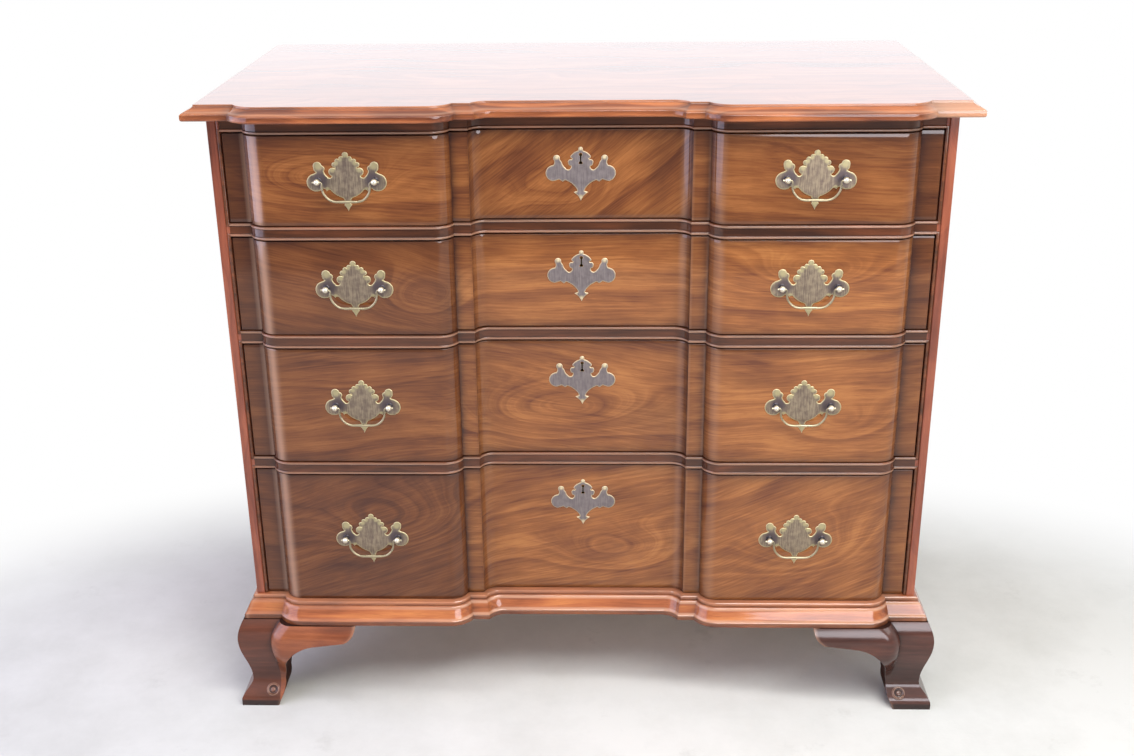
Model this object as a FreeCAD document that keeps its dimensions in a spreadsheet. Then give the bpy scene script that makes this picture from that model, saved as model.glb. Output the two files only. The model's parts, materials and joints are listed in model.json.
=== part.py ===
import FreeCAD, Part
import math
import os
import re
from types import SimpleNamespace
from FreeCAD import Placement, Rotation, Vector

# A block front chest of drawers. X runs across the front, the front faces -Y and Z is up.
# The origin is on the floor, under the middle of the chest.
# Depths are written from the front plane of the case, which stands at sizes.frontPlane.

doc = FreeCAD.newDocument("BlockFrontChest")
sheet = doc.addObject("Spreadsheet::Sheet", "sizes")

drivingSizes = [
    # Case
    ("caseWidth", 990, "outside of one side to outside of the other"),
    ("caseDepth", 490, "front plane to back of the case"),
    ("sideThickness", 16, "case side"),
    ("backThickness", 10, "back panel"),
    ("bottomThickness", 16, "case bottom"),
    ("topThickness", 20, "top board"),
    ("topOverhang", 27, "nose of the top past the case, front and sides"),
    ("topBackOverhang", 8, "top past the back of the case"),
    ("topMouldWidth", 15, "flat of the top to its nose"),
    ("topFillet", 1.5, "upright step above the top moulding"),
    ("topNoseHeight", 8, "underside of the top to its nose"),
    ("topUndercut", 4, "how far the nose stands past the underside"),
    ("topNoseStart", 3.2, "underside of the top to its full overhang"),
    ("topRailHeight", 19.5, "rail under the top"),
    ("railHeight", 19, "rails between drawers"),
    ("railDepth", 46, "front plane to back of the rails"),
    ("railSetback", 2.6, "front plane to flat of the rails"),
    ("beadHeight", 4.4, "bead on a rail"),
    ("beadStand", 1.6, "how far a rail's bead stands out"),
    ("sideBead", 4, "bead down the front inner edge of a side"),
    ("beadQuirk", 1.2, "notch beside the side bead"),
    ("runnerWidth", 45, "drawer runner"),
    ("dustThickness", 6, "dust board"),
    ("stopLength", 40, "drawer stop along X"),
    ("stopDepth", 20, "drawer stop along Y"),
    ("stopHeight", 6, "drawer stop above the rail"),
    ("stopPlace", 220, "drawer stop from the middle"),
    # Drawer openings, from the top one down
    ("openingOne", 125, "height of the first drawer opening"),
    ("openingTwo", 137, "height of the second drawer opening"),
    ("openingThree", 175.5, "height of the third drawer opening"),
    ("openingFour", 209, "height of the fourth drawer opening"),
    # Plan of the front: raised blocks at the sides and a sunk field in the middle
    ("blockProjection", 20, "blocks stand this far forward"),
    ("recessDepth", 15, "middle field lies this far back"),
    ("outerStrip", 29, "case side to the outer foot of a block's curve"),
    ("outerCurve", 28, "that foot to the block's flat, along X"),
    ("innerValley", 172, "middle of the chest to the inner foot of a block's curve"),
    ("innerCurve", 27, "that foot to the block's flat, along X"),
    ("innerStrip", 23.5, "that foot to the sharp edge beside the middle field"),
    ("recessCurve", 20.5, "that edge to the middle field's flat, along X"),
    ("valleyDrift", 0.37, "valleys of a moulding spread, per mm of stand"),
    ("arrisDrift", 0.4, "arrises of a moulding close in, per mm of stand"),
    ("flatDrift", 0.6, "middle flat of a moulding narrows, per mm of stand"),
    # Base moulding
    ("baseHeight", 34, "base moulding"),
    ("baseStand", 18, "base moulding past the case at its widest"),
    ("baseFillet", 7, "upright lower band of the base moulding"),
    ("baseNeck", 6.5, "stand of the base moulding under its lip"),
    ("baseLip", 5.5, "upright lip on top of the base moulding"),
    ("baseLipStand", 5, "stand of the lip"),
    ("baseLipEase", 1, "eased upper edge of the lip"),
    ("baseGroove", 1.2, "height and depth of the groove under the lip"),
    # Ogee bracket feet
    ("footHeight", 147, "floor to base moulding"),
    ("footToeOut", 32.5, "toe past the case"),
    ("footToeHeight", 9, "upright edge of the toe"),
    ("footAnkleOut", 16, "ankle past the case"),
    ("footAnkleHeight", 40, "height of the ankle"),
    ("footKneeOut", 29.5, "knee past the case"),
    ("footKneeHeight", 115, "height of the knee"),
    ("footTopOut", 20, "top of the foot past the case"),
    ("footInner", 24, "inner face of a bracket behind the case face"),
    ("footBase", 24, "case corner to inner end of the foot at the floor"),
    ("footLean", 3, "how far that end leans out up to the toe's top"),
    ("bracketHollow", 33, "case corner to the hollow over the sole"),
    ("bracketHollowHeight", 22, "height of that hollow"),
    ("bracketWaist", 34.5, "case corner to inner edge above the scroll"),
    ("bracketWaistHeight", 40, "height of that edge"),
    ("bracketLean", 6.5, "how far the leg leans out above that edge"),
    ("bracketRise", 74, "height where the wing leaves the leg"),
    ("bracketElbow", 53, "case corner to the middle of the curve into the wing"),
    ("bracketElbowHeight", 96, "height of that middle"),
    ("bracketSpring", 88, "case corner to the straight run under the wing"),
    ("bracketSpringHeight", 116, "height of the wing's lower edge"),
    ("bracketEnd", 136, "case corner to the end of the straight run"),
    ("bracketEndHeight", 122, "height of that end"),
    ("bracketHook", 147.5, "case corner to the middle of the wing's last curve"),
    ("bracketHookHeight", 131, "height of that middle"),
    ("bracketLength", 152.5, "case corner to the tip of the wing"),
    ("ridgeTop", 35, "case corner to the ridge between leg and wing, at the top"),
    ("ridgeKnee", 20.5, "the same at the knee"),
    ("ridgeAnkle", 26.5, "the same where the wing dies out"),
    ("wingStart", 0.5, "wing past the leg where it dies out"),
    ("wingFullHeight", 100, "height where the wing stands fully out"),
    ("ridgeWidth", 22, "curve from the ridge out to the wing's face"),
    ("scrollPlace", 15.5, "case corner to the centre of the carved scroll"),
    ("scrollHeight", 24, "height of that centre"),
    ("scrollRadius", 10.5, "carved scroll"),
    ("scrollRise", 1.5, "face of the scroll past the leg"),
    ("scrollSunk", 10, "scroll let into the leg"),
    ("blockSize", 40, "glue block in a foot, square"),
    ("blockClear", 60, "glue block above the floor"),
    # Drawers
    ("gapTop", 2, "drawer front to the rail above"),
    ("gapBottom", 1, "drawer front to the rail below"),
    ("gapSide", 2, "drawer front to a case side"),
    ("slideGap", 0.3, "running gap under a drawer side, and at a stop"),
    ("faceSetback", 3.5, "front plane to the strips of a drawer front"),
    ("frontThickness", 22, "drawer front at its thinnest"),
    ("boxGap", 3.5, "drawer side to a case side"),
    ("drawerSide", 12, "drawer side board"),
    ("sideLap", 12, "drawer side let into the front"),
    ("sideDrop", 8, "drawer side below the top of its opening"),
    ("drawerBack", 10, "drawer back board"),
    ("backGap", 15, "drawer to back panel"),
    ("drawerBottom", 8, "drawer bottom board"),
    ("bottomRise", 10, "drawer bottom above the lower edge of the sides"),
    ("grooveDepth", 5, "drawer bottom let into sides and front"),
    # Lock
    ("lockWidth", 60, "lock case along X"),
    ("lockHeight", 48, "lock case along Z"),
    ("lockThickness", 11, "lock case along Y"),
    ("boltWidth", 18, "lock bolt along X"),
    ("boltThickness", 5, "lock bolt along Y"),
    ("boltLength", 24, "lock bolt along Z"),
    ("boltGap", 0.3, "bolt to its slot"),
    ("mortiseGap", 0.6, "bolt to its mortise in the rail above"),
    ("boltThrow", 7, "bolt travel"),
    ("keyDrop", 35.8, "opening top down to the key pin"),
    ("keyPin", 1.2, "radius of the key pin"),
    ("keyEye", 2.4, "radius of the keyhole's eye"),
    ("keySlot", 3, "width of the keyhole's slot"),
    ("keyTail", 13, "key pin down to the end of the slot"),
    ("keyGap", 0.4, "keyhole in the wood past the one in the escutcheon"),
    # Brasses
    ("pullSpacing", 76.2, "between the two posts of a pull"),
    ("pullRise", 1, "posts above the middle of their opening"),
    ("plateThickness", 1.2, "brass plates"),
    ("escutcheonDrop", 59, "opening top down to the wings of the escutcheon"),
    ("postReach", 9, "plate to the axis of the bail"),
    ("postBall", 4.4, "radius of a post's ball"),
    ("postTip", 2.1, "radius of the tip where it leaves the ball"),
    ("postTipEnd", 1, "radius of the tip at its end"),
    ("postTipLength", 0.8, "tip past the ball"),
    ("postTipSunk", 0.6, "tip inside the ball"),
    ("postFoot", 3.7, "radius of a post's neck at its collar"),
    ("postNeck", 2.6, "radius of a post's neck at its ball"),
    ("postCollar", 4.6, "radius of a post's collar"),
    ("collarThickness", 1.2, "collar of a post"),
    ("stemRadius", 2.2, "threaded stem of a post"),
    ("stemGap", 0.15, "stem to its hole"),
    ("stemEnd", 6, "stem past the drawer front"),
    ("nutWidth", 10, "square nut"),
    ("nutThickness", 3, "square nut"),
    ("bailPin", 1.3, "radius of the bail's pins"),
    ("pinGap", 0.06, "bail pin to its hole"),
    ("pinEnd", 6.3, "post axis to the outer end of a pin"),
    ("bailBend", 6.2, "post axis to the bend of the bail"),
    ("bailDrop", 26.6, "pin axis down to the grip's axis"),
    ("bailCorner", 14, "half the straight grip"),
    ("bailLean", 0.5, "how far the arms lean in down to their curve"),
    ("bailCurveStart", 12.5, "pin axis down to that curve"),
    ("bailElbow", 12.2, "middle of the curve past the straight grip"),
    ("bailElbowRise", 5.8, "middle of the curve above the grip's axis"),
    ("bailArm", 1.5, "radius of the bail's arms"),
    ("bailGrip", 2, "radius of the grip at its middle"),
]

derivedSizes = [
    ("caseHalf", "caseWidth / 2"),
    ("openingHalf", "caseHalf - sideThickness"),
    ("outerValley", "openingHalf - outerStrip"),
    ("blockOuter", "outerValley - outerCurve"),
    ("blockInner", "innerValley + innerCurve"),
    ("arris", "innerValley - innerStrip"),
    ("recessFlat", "arris - recessCurve"),
    ("pullCentre", "(blockInner + blockOuter) / 2"),
    ("backInner", "caseDepth - backThickness"),
    ("baseTop", "footHeight + baseHeight"),
    ("floorFour", "baseTop"),
    ("floorThree", "floorFour + openingFour + railHeight"),
    ("floorTwo", "floorThree + openingThree + railHeight"),
    ("floorOne", "floorTwo + openingTwo + railHeight"),
    ("topRailBottom", "floorOne + openingOne"),
    ("topUnderside", "topRailBottom + topRailHeight"),
    ("chestHeight", "topUnderside + topThickness"),
    ("frontReach", "blockProjection + max(footKneeOut; topOverhang; baseStand)"),
    ("frontPlane", "(frontReach - caseDepth - topBackOverhang) / 2"),
    ("drawerHalf", "openingHalf - gapSide"),
    ("frontBack", "faceSetback + recessDepth + frontThickness"),
    ("blockFace", "faceSetback - blockProjection"),
    ("recessFace", "faceSetback + recessDepth"),
    ("boxHalf", "openingHalf - boxGap"),
    ("boxInner", "boxHalf - drawerSide"),
    ("boxEnd", "backInner - backGap"),
    ("lockFace", "frontBack - lockThickness"),
    ("boltFace", "frontBack - (lockThickness + boltThickness) / 2"),
    ("bailAxis", "blockFace - plateThickness - postReach"),
]


def withSheet(formula):
    # Puts the sheet's name before each alias of a formula.
    return re.sub(r"(?<![\w.])(?!max\b)[A-Za-z]\w*", r"sizes.\g<0>", formula)


def fillSheet():
    row = 1
    for alias, value, note in drivingSizes:
        sheet.set(f"A{row}", note)
        sheet.set(f"B{row}", str(value))
        sheet.setAlias(f"B{row}", alias)
        row += 1
    for alias, formula in derivedSizes:
        sheet.set(f"B{row}", "=" + formula)
        sheet.setAlias(f"B{row}", alias)
        row += 1
    doc.recompute()
    aliases = [entry[0] for entry in drivingSizes + derivedSizes]
    return SimpleNamespace(**{alias: float(sheet.get(alias)) for alias in aliases})


size = fillSheet()
pieces = []
drawers = ["One", "Two", "Three", "Four"]
sides = {"left": -1, "right": 1}
overrun = 1  # how far a cutting shape runs past what it cuts


def keep(label, thing):
    thing.Label = label
    pieces.append(thing)
    return thing


def addBox(name, lengths, corner):
    # A box bound to the sheet: its lengths and its lowest corner are formulas.
    box = doc.addObject("Part::Box", name)
    for side, formula in zip(("Length", "Width", "Height"), lengths):
        box.setExpression(side, withSheet(formula))
    places = (corner[0], "frontPlane + " + corner[1], corner[2])
    for axis, formula in zip("xyz", places):
        box.setExpression(".Placement.Base." + axis, withSheet(formula))
    return box


def addGroup(name, members):
    group = doc.addObject("Part::Compound", name)
    group.Links = members
    return group


def addCut(name, base, tools):
    cut = doc.addObject("Part::Cut", name)
    cut.Base = base
    cut.Tool = tools[0] if len(tools) == 1 else addGroup(name + "_tools", tools)
    return cut


def addShape(name, shape):
    # A shape drawn about the case's front plane, set at that plane.
    feature = doc.addObject("Part::Feature", name)
    feature.Shape = shape
    feature.Placement = Placement(Vector(0, size.frontPlane, 0), Rotation()) * feature.Placement
    return feature


# ---- Outlines

def straight(start, end, height):
    return Part.makeLine(Vector(*start, height), Vector(*end, height))


def returnCurve(flat, foot, height):
    # An arc that is tangent to X at its flat end and runs into its foot.
    across = foot[0] - flat[0]
    rise = foot[1] - flat[1]
    radius = (across ** 2 + rise ** 2) / (2 * abs(rise))
    halfTurn = math.atan2(abs(across), radius - abs(rise)) / 2
    middle = (flat[0] + math.copysign(radius * math.sin(halfTurn), across),
              flat[1] + math.copysign(radius * (1 - math.cos(halfTurn)), rise))
    points = [Vector(*point, height) for point in (flat, middle, foot)]
    return Part.Arc(*points).toShape()


def mirrored(point):
    return (-point[0], point[1])


def frontRun(half, stand, height):
    # The block front's plan from left to right, moved forward by its stand.
    strip = -stand
    recess = (size.recessFlat - size.flatDrift * stand, strip + size.recessDepth)
    arris = (size.arris - size.arrisDrift * stand, strip)
    valley = (size.innerValley - size.valleyDrift * stand, strip)
    inner = (size.blockInner, strip - size.blockProjection)
    outer = (size.blockOuter, strip - size.blockProjection)
    shoulder = (size.outerValley + size.valleyDrift * stand, strip)
    run = [(returnCurve, recess, arris), (straight, arris, valley), (returnCurve, inner, valley),
           (straight, inner, outer), (returnCurve, outer, shoulder), (straight, shoulder, (half, strip))]
    right = [draw(start, end, height) for draw, start, end in run]
    left = [draw(mirrored(start), mirrored(end), height) for draw, start, end in reversed(run)]
    return left + [straight(mirrored(recess), recess, height)] + right


def planWire(half, stand, back, height):
    corners = [(half, -stand), (half, back), (-half, back), (-half, -stand)]
    rest = [straight(corners[i], corners[i + 1], height) for i in range(3)]
    return Part.Wire(frontRun(half, stand, height) + rest)


def planBlock(half, stand, back, floor, height):
    return Part.Face(planWire(half, stand, back, floor)).extrude(Vector(0, 0, height))


def ease(start, end, share):
    # A half wave from start to end, level at both ends.
    return start + (end - start) * (1 - math.cos(math.pi * share)) / 2


def polygon(points):
    return Part.Face(Part.makePolygon(points + [points[0]]))


def arcOutline(points, place):
    # A closed face from three-point arcs: each entry is an end point, after its middle if it curves.
    edges = []
    here = points[0]
    for entry in points[1:]:
        *middle, there = entry
        if middle:
            edges.append(Part.Arc(place(here), place(middle[0]), place(there)).toShape())
        else:
            edges.append(Part.makeLine(place(here), place(there)))
        here = there
    edges.append(Part.makeLine(place(here), place(points[0])))
    return Part.Face(Part.Wire(edges))


# ---- Case

def topBoard():
    nose = size.topUnderside + size.topNoseHeight
    step = size.chestHeight - size.topFillet
    flat = size.topOverhang - size.topMouldWidth
    steps = 8
    profile = [(size.topUnderside, size.topOverhang - size.topUndercut)]
    profile.append((size.topUnderside + size.topNoseStart, size.topOverhang))
    for i in range(steps + 1):
        profile.append((nose + (step - nose) * i / steps, ease(size.topOverhang, flat, i / steps)))
    profile.append((size.chestHeight, flat))
    back = size.caseDepth + size.topBackOverhang
    wires = [planWire(size.caseHalf + stand, stand, back, z) for z, stand in profile]
    return Part.makeLoft(wires, True, True)


def caseSide(name, hand):
    # The board's section, with a bead down its inner front edge, padded to its height.
    body = doc.addObject("PartDesign::Body", name)
    sketch = body.newObject("Sketcher::SketchObject", name + "_section")
    ground = [f for f in body.Origin.OriginFeatures if f.Role == "XY_Plane"][0]
    sketch.AttachmentSupport = [(ground, "")]
    sketch.MapMode = "FlatFace"
    radius = size.sideBead / 2
    inner = size.openingHalf
    corners = [(inner, radius), (inner, size.caseDepth), (size.caseHalf, size.caseDepth), (size.caseHalf, 0),
               (inner + size.sideBead + size.beadQuirk, 0), (inner + size.sideBead, radius)]
    points = [Vector(hand * x, y, 0) for x, y in corners]
    for start, end in zip(points, points[1:]):
        sketch.addGeometry(Part.LineSegment(start, end))
    crest = Vector(hand * (inner + radius), 0, 0)
    sketch.addGeometry(Part.Arc(points[-1], crest, points[0]))
    pad = body.newObject("PartDesign::Pad", name + "_pad")
    pad.Profile = sketch
    pad.setExpression("Length", withSheet("topUnderside - footHeight"))
    body.Tip = pad
    body.setExpression(".Placement.Base.y", withSheet("frontPlane"))
    body.setExpression(".Placement.Base.z", withSheet("footHeight"))
    return body


def beadProfile(floor):
    # Heights and stands of one half round bead on the flat of a rail.
    turns = 6
    for i in range(turns + 1):
        angle = math.pi * (i / turns - 0.5)
        height = floor + size.beadHeight * (1 + math.sin(angle)) / 2
        yield height, size.beadStand * math.cos(angle) - size.railSetback


def railShape(floor, height, beadFloors):
    profile = []
    for beadFloor in beadFloors:
        profile += list(beadProfile(beadFloor))
    if len(beadFloors) == 1:
        profile.append((floor + height, -size.railSetback))
    wires = [planWire(size.openingHalf, stand, size.railDepth, z) for z, stand in profile]
    return Part.makeLoft(wires, True, True)


def boltMortise(name, floor):
    # The slot for a lock bolt in the underside of the rail above its drawer.
    return addBox(name, ("boltWidth + 2 * mortiseGap", "boltThickness + 2 * mortiseGap", "boltThrow"),
                  ("-boltWidth / 2 - mortiseGap", "boltFace - mortiseGap", floor))


def addRails():
    beads = {"floorThree": "Four", "floorTwo": "Three", "floorOne": "Two"}
    for number, (top, below) in enumerate(reversed(beads.items()), start=1):
        floor = getattr(size, top) - size.railHeight
        upper = floor + size.railHeight - size.beadHeight
        rail = addShape(f"rail_{number}_board", railShape(floor, size.railHeight, (floor, upper)))
        mortise = boltMortise(f"rail_{number}_mortise", top + " - railHeight")
        keep(f"drawer_rail_{number}", addCut(f"drawer_rail_{number}", rail, [mortise]))
    rail = addShape("top_rail_board", railShape(size.topRailBottom, size.topRailHeight, (size.topRailBottom,)))
    mortise = boltMortise("top_rail_mortise", "topRailBottom")
    keep("top_rail", addCut("top_rail", rail, [mortise]))


def addRunners():
    runners = []
    boards = []
    stops = []
    for number, word in enumerate(drawers, start=1):
        floor = "floor" + word
        for hand, sign in sides.items():
            edge = "stopPlace - stopLength / 2" if sign > 0 else "-stopPlace - stopLength / 2"
            stops.append(addBox(f"stop_{number}_{hand}", ("stopLength", "stopDepth", "stopHeight"),
                                (edge, "frontBack + slideGap", floor)))
            if word == "Four":
                continue
            edge = "openingHalf - runnerWidth" if sign > 0 else "-openingHalf"
            runners.append(addBox(f"runner_{number}_{hand}",
                                  ("runnerWidth", "backInner - railDepth", "railHeight"),
                                  (edge, "railDepth", floor + " - railHeight")))
        if word != "Four":
            boards.append(addBox(f"dust_board_{number}",
                                 ("2 * (openingHalf - runnerWidth)", "backInner - railDepth", "dustThickness"),
                                 ("runnerWidth - openingHalf", "railDepth",
                                  floor + " - (railHeight + dustThickness) / 2")))
    keep("drawer_runners", addGroup("drawer_runners", runners))
    keep("dust_boards", addGroup("dust_boards", boards))
    keep("drawer_stops", addGroup("drawer_stops", stops))


def addBaseMoulding():
    # One moulding round the front and sides, cut at mitres into three lengths.
    lipFloor = size.baseTop - size.baseLip
    bandTop = size.footHeight + size.baseFillet
    neckTop = lipFloor - size.baseGroove
    steps = 8
    profile = [(size.footHeight, size.baseStand)]
    for i in range(steps + 1):
        stand = size.baseStand + (size.baseNeck - size.baseStand) * i / steps
        profile.append((ease(bandTop, neckTop, i / steps), stand))
    profile += [(neckTop + size.baseGroove / 2, size.baseLipStand - size.baseGroove),
                (lipFloor, size.baseLipStand), (size.baseTop - size.baseLipEase, size.baseLipStand),
                (size.baseTop, size.baseLipStand - size.baseLipEase)]
    wires = [planWire(size.caseHalf + stand, stand, size.caseDepth, z) for z, stand in profile]
    ring = Part.makeLoft(wires, True, True)
    reach = size.blockProjection + 2 * size.baseStand
    tall = Vector(0, 0, size.baseHeight)

    def region(corners):
        return polygon([Vector(x, y, size.footHeight) for x, y in corners]).extrude(tall)

    case, inner = size.caseHalf, size.openingHalf
    right = [(inner, size.railDepth), (inner, 0), (case, 0), (case + reach, -reach)]
    left = [mirrored(corner) for corner in reversed(right)]
    keep("base_moulding_front", addShape("base_moulding_front", ring.common(region(right + left))))
    for hand, sign in sides.items():
        corners = [(case, 0), (case + reach, -reach), (case + reach, size.caseDepth), (case, size.caseDepth)]
        piece = ring.common(region([(sign * x, y) for x, y in corners]))
        keep(f"base_moulding_{hand}", addShape(f"base_moulding_{hand}", piece))


# ---- Feet

def footOut(height):
    # How far the ogee stands past the case at a height.
    if height <= size.footToeHeight:
        return size.footToeOut
    if height <= size.footAnkleHeight:
        share = (height - size.footToeHeight) / (size.footAnkleHeight - size.footToeHeight)
        return ease(size.footToeOut, size.footAnkleOut, share)
    if height <= size.footKneeHeight:
        share = (height - size.footAnkleHeight) / (size.footKneeHeight - size.footAnkleHeight)
        return ease(size.footAnkleOut, size.footKneeOut, share)
    share = (height - size.footKneeHeight) / (size.footHeight - size.footKneeHeight)
    return size.footKneeOut + (size.footTopOut - size.footKneeOut) * share ** 2


def footRidge(height):
    # Case corner to the ridge between the leg and the wing at a height.
    if height <= size.bracketWaistHeight:
        return size.ridgeAnkle
    if height <= size.footKneeHeight:
        share = (height - size.bracketWaistHeight) / (size.footKneeHeight - size.bracketWaistHeight)
        return ease(size.ridgeAnkle, size.ridgeKnee, share)
    share = (height - size.footKneeHeight) / (size.footHeight - size.footKneeHeight)
    return size.ridgeKnee + (size.ridgeTop - size.ridgeKnee) * share ** 2


def wingOut(height):
    # How far the wing stands past the leg at a height.
    share = (height - size.bracketWaistHeight) / (size.wingFullHeight - size.bracketWaistHeight)
    return ease(size.wingStart, size.blockProjection, min(max(share, 0), 1))


def footLevels():
    levels = [0, size.footToeHeight]
    bounds = [(size.footToeHeight, size.footAnkleHeight, 5), (size.footAnkleHeight, size.footKneeHeight, 9),
              (size.footKneeHeight, size.footHeight, 6)]
    for low, high, steps in bounds:
        levels += [low + (high - low) * (i + 1) / steps for i in range(steps)]
    return levels


def bracketFace(place):
    # The bracket seen square on: along the case from its corner, and up.
    outside = -size.footToeOut - size.scrollRadius
    waist = (size.bracketWaist, size.bracketWaistHeight)
    spring = (size.bracketSpring, size.bracketSpringHeight)
    points = [(outside, 0), [(size.footBase, 0)], [(size.footBase + size.footLean, size.footToeHeight)],
              [(size.bracketHollow, size.bracketHollowHeight), waist],
              [(size.bracketWaist + size.bracketLean, size.bracketRise)],
              [(size.bracketElbow, size.bracketElbowHeight), spring],
              [(size.bracketEnd, size.bracketEndHeight)],
              [(size.bracketHook, size.bracketHookHeight), (size.bracketLength, size.footHeight)],
              [(outside, size.footHeight)]]
    return arcOutline(points, place)


def frontFoot(hand):
    # The left foot is drawn about its case corner and mirrored for the right.
    rear = size.bracketLength
    wires = []
    for z in footLevels():
        out = footOut(z)
        ridge = footRidge(z)
        face = (ridge + size.ridgeWidth, -out - wingOut(z))
        edges = [straight((-out, -out), (ridge, -out), z), returnCurve(face, (ridge, -out), z)]
        corners = [face, (rear, face[1]), (rear, size.footInner), (size.footInner, size.footInner),
                   (size.footInner, rear), (-out, rear), (-out, -out)]
        edges += [straight(a, b, z) for a, b in zip(corners, corners[1:])]
        wires.append(Part.Wire(edges))
    block = Part.makeLoft(wires, True, True)
    reach = size.blockProjection + size.footToeOut + size.scrollRadius
    front = bracketFace(lambda p: Vector(p[0], -reach, p[1])).extrude(Vector(0, reach + size.footInner, 0))
    side = bracketFace(lambda p: Vector(-reach, p[0], p[1])).extrude(Vector(reach + size.footInner, 0, 0))
    foot = block.common(front.fuse(side)).fuse(footScroll()).removeSplitter()
    return placeAtCorner(foot, hand, 0)


def footScroll():
    # A disc let into the leg, square to the leg's slope.
    slope = footOut(size.scrollHeight - overrun) - footOut(size.scrollHeight + overrun)
    outwards = Vector(0, -2 * overrun, slope).normalize()
    middle = Vector(size.scrollPlace, -footOut(size.scrollHeight), size.scrollHeight)
    return Part.makeCylinder(size.scrollRadius, size.scrollSunk + size.scrollRise,
                             middle - outwards * size.scrollSunk, outwards)


def backFoot(hand):
    # An ogee on the side and a plain board across the back.
    rear = size.bracketLength
    plain = size.footInner
    wires = []
    for z in footLevels():
        out = footOut(z)
        corners = [(-out, 0), (rear, 0), (rear, -plain), (plain, -plain),
                   (plain, -rear), (-out, -rear), (-out, 0)]
        wires.append(Part.Wire([straight(a, b, z) for a, b in zip(corners, corners[1:])]))
    block = Part.makeLoft(wires, True, True)
    reach = size.footToeOut + size.scrollRadius
    back = bracketFace(lambda p: Vector(p[0], -plain, p[1])).extrude(Vector(0, plain, 0))
    side = bracketFace(lambda p: Vector(-reach, -p[0], p[1])).extrude(Vector(reach + plain, 0, 0))
    foot = block.common(back.fuse(side)).removeSplitter()
    return placeAtCorner(foot, hand, size.caseDepth)


def placeAtCorner(shape, hand, depth):
    placed = shape.translated(Vector(-size.caseHalf, depth, 0))
    return placed if hand == "left" else placed.mirror(Vector(0, 0, 0), Vector(1, 0, 0))


def addFeet():
    blocks = []
    for hand in sides:
        keep(f"foot_front_{hand}", addShape(f"foot_front_{hand}", frontFoot(hand)))
        keep(f"foot_back_{hand}", addShape(f"foot_back_{hand}", backFoot(hand)))
        edge = {"left": "footInner - caseHalf", "right": "caseHalf - footInner - blockSize"}[hand]
        for row, depth in (("front", "footInner"), ("back", "caseDepth - footInner - blockSize")):
            blocks.append(addBox(f"block_{row}_{hand}", ("blockSize", "blockSize", "footHeight - blockClear"),
                                 (edge, depth, "blockClear")))
    keep("foot_blocks", addGroup("foot_blocks", blocks))


def addCase():
    keep("top_board", addShape("top_board", topBoard()))
    for hand, sign in sides.items():
        keep(f"case_side_{hand}", caseSide(f"case_side_{hand}", sign))
    keep("back_panel", addBox("back_panel", ("2 * openingHalf", "backThickness", "topUnderside - footHeight"),
                              ("-openingHalf", "backInner", "footHeight")))
    keep("case_bottom", addBox("case_bottom", ("2 * openingHalf", "backInner - railDepth", "bottomThickness"),
                               ("-openingHalf", "railDepth", "baseTop - bottomThickness")))
    addRails()
    addRunners()
    addBaseMoulding()
    addFeet()


# ---- Drawers

def keyholeShape(near, far, drop, grow):
    # The keyhole from one depth to another: an eye round the key pin and a slot below it.
    eye = Part.makeCylinder(size.keyEye + grow, far - near, Vector(0, near, drop), Vector(0, 1, 0))
    width = size.keySlot + 2 * grow
    slot = Part.makeBox(width, far - near, size.keyTail + grow,
                        Vector(-width / 2, near, drop - size.keyTail - grow))
    return eye.fuse(slot)


def postPlaces():
    return [sign * size.pullCentre + post * size.pullSpacing / 2 for sign in (-1, 1) for post in (-1, 1)]


def pullHeight(word):
    return getattr(size, "floor" + word) + getattr(size, "opening" + word) / 2 + size.pullRise


def stemHoles(word, near, far):
    radius = size.stemRadius + size.stemGap
    return [Part.makeCylinder(radius, far - near, Vector(x, near, pullHeight(word)), Vector(0, 1, 0))
            for x in postPlaces()]


def drawerFront(number, word, bottom):
    # A solid front, let in for the sides, the bottom, the lock, the keyhole and the stems.
    floor = getattr(size, "floor" + word) + size.gapBottom
    height = getattr(size, "opening" + word) - size.gapBottom - size.gapTop
    board = planBlock(size.drawerHalf, -size.faceSetback, size.frontBack, floor, height)
    openingTop = getattr(size, "floor" + word) + getattr(size, "opening" + word)
    holes = stemHoles(word, size.blockFace - overrun, size.frontBack + overrun)
    holes.append(keyholeShape(size.recessFace - overrun, size.lockFace, openingTop - size.keyDrop, size.keyGap))
    shape = board.cut(Part.makeCompound(holes))
    tools = [bottom]
    for hand, sign in sides.items():
        edge = "boxInner" if sign > 0 else "-drawerHalf"
        tools.append(addBox(f"drawer_{number}_rabbet_{hand}",
                            ("drawerHalf - boxInner", "sideLap", f"opening{word}"),
                            (edge, "frontBack - sideLap", f"floor{word}")))
    tools.append(addBox(f"drawer_{number}_mortise", ("lockWidth", "lockThickness", "lockHeight"),
                        ("-lockWidth / 2", "lockFace", f"floor{word} + opening{word} - gapTop - lockHeight")))
    front = addShape(f"drawer_{number}_front_board", shape)
    keep(f"drawer_{number}_front", addCut(f"drawer_{number}_front", front, tools))


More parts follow.
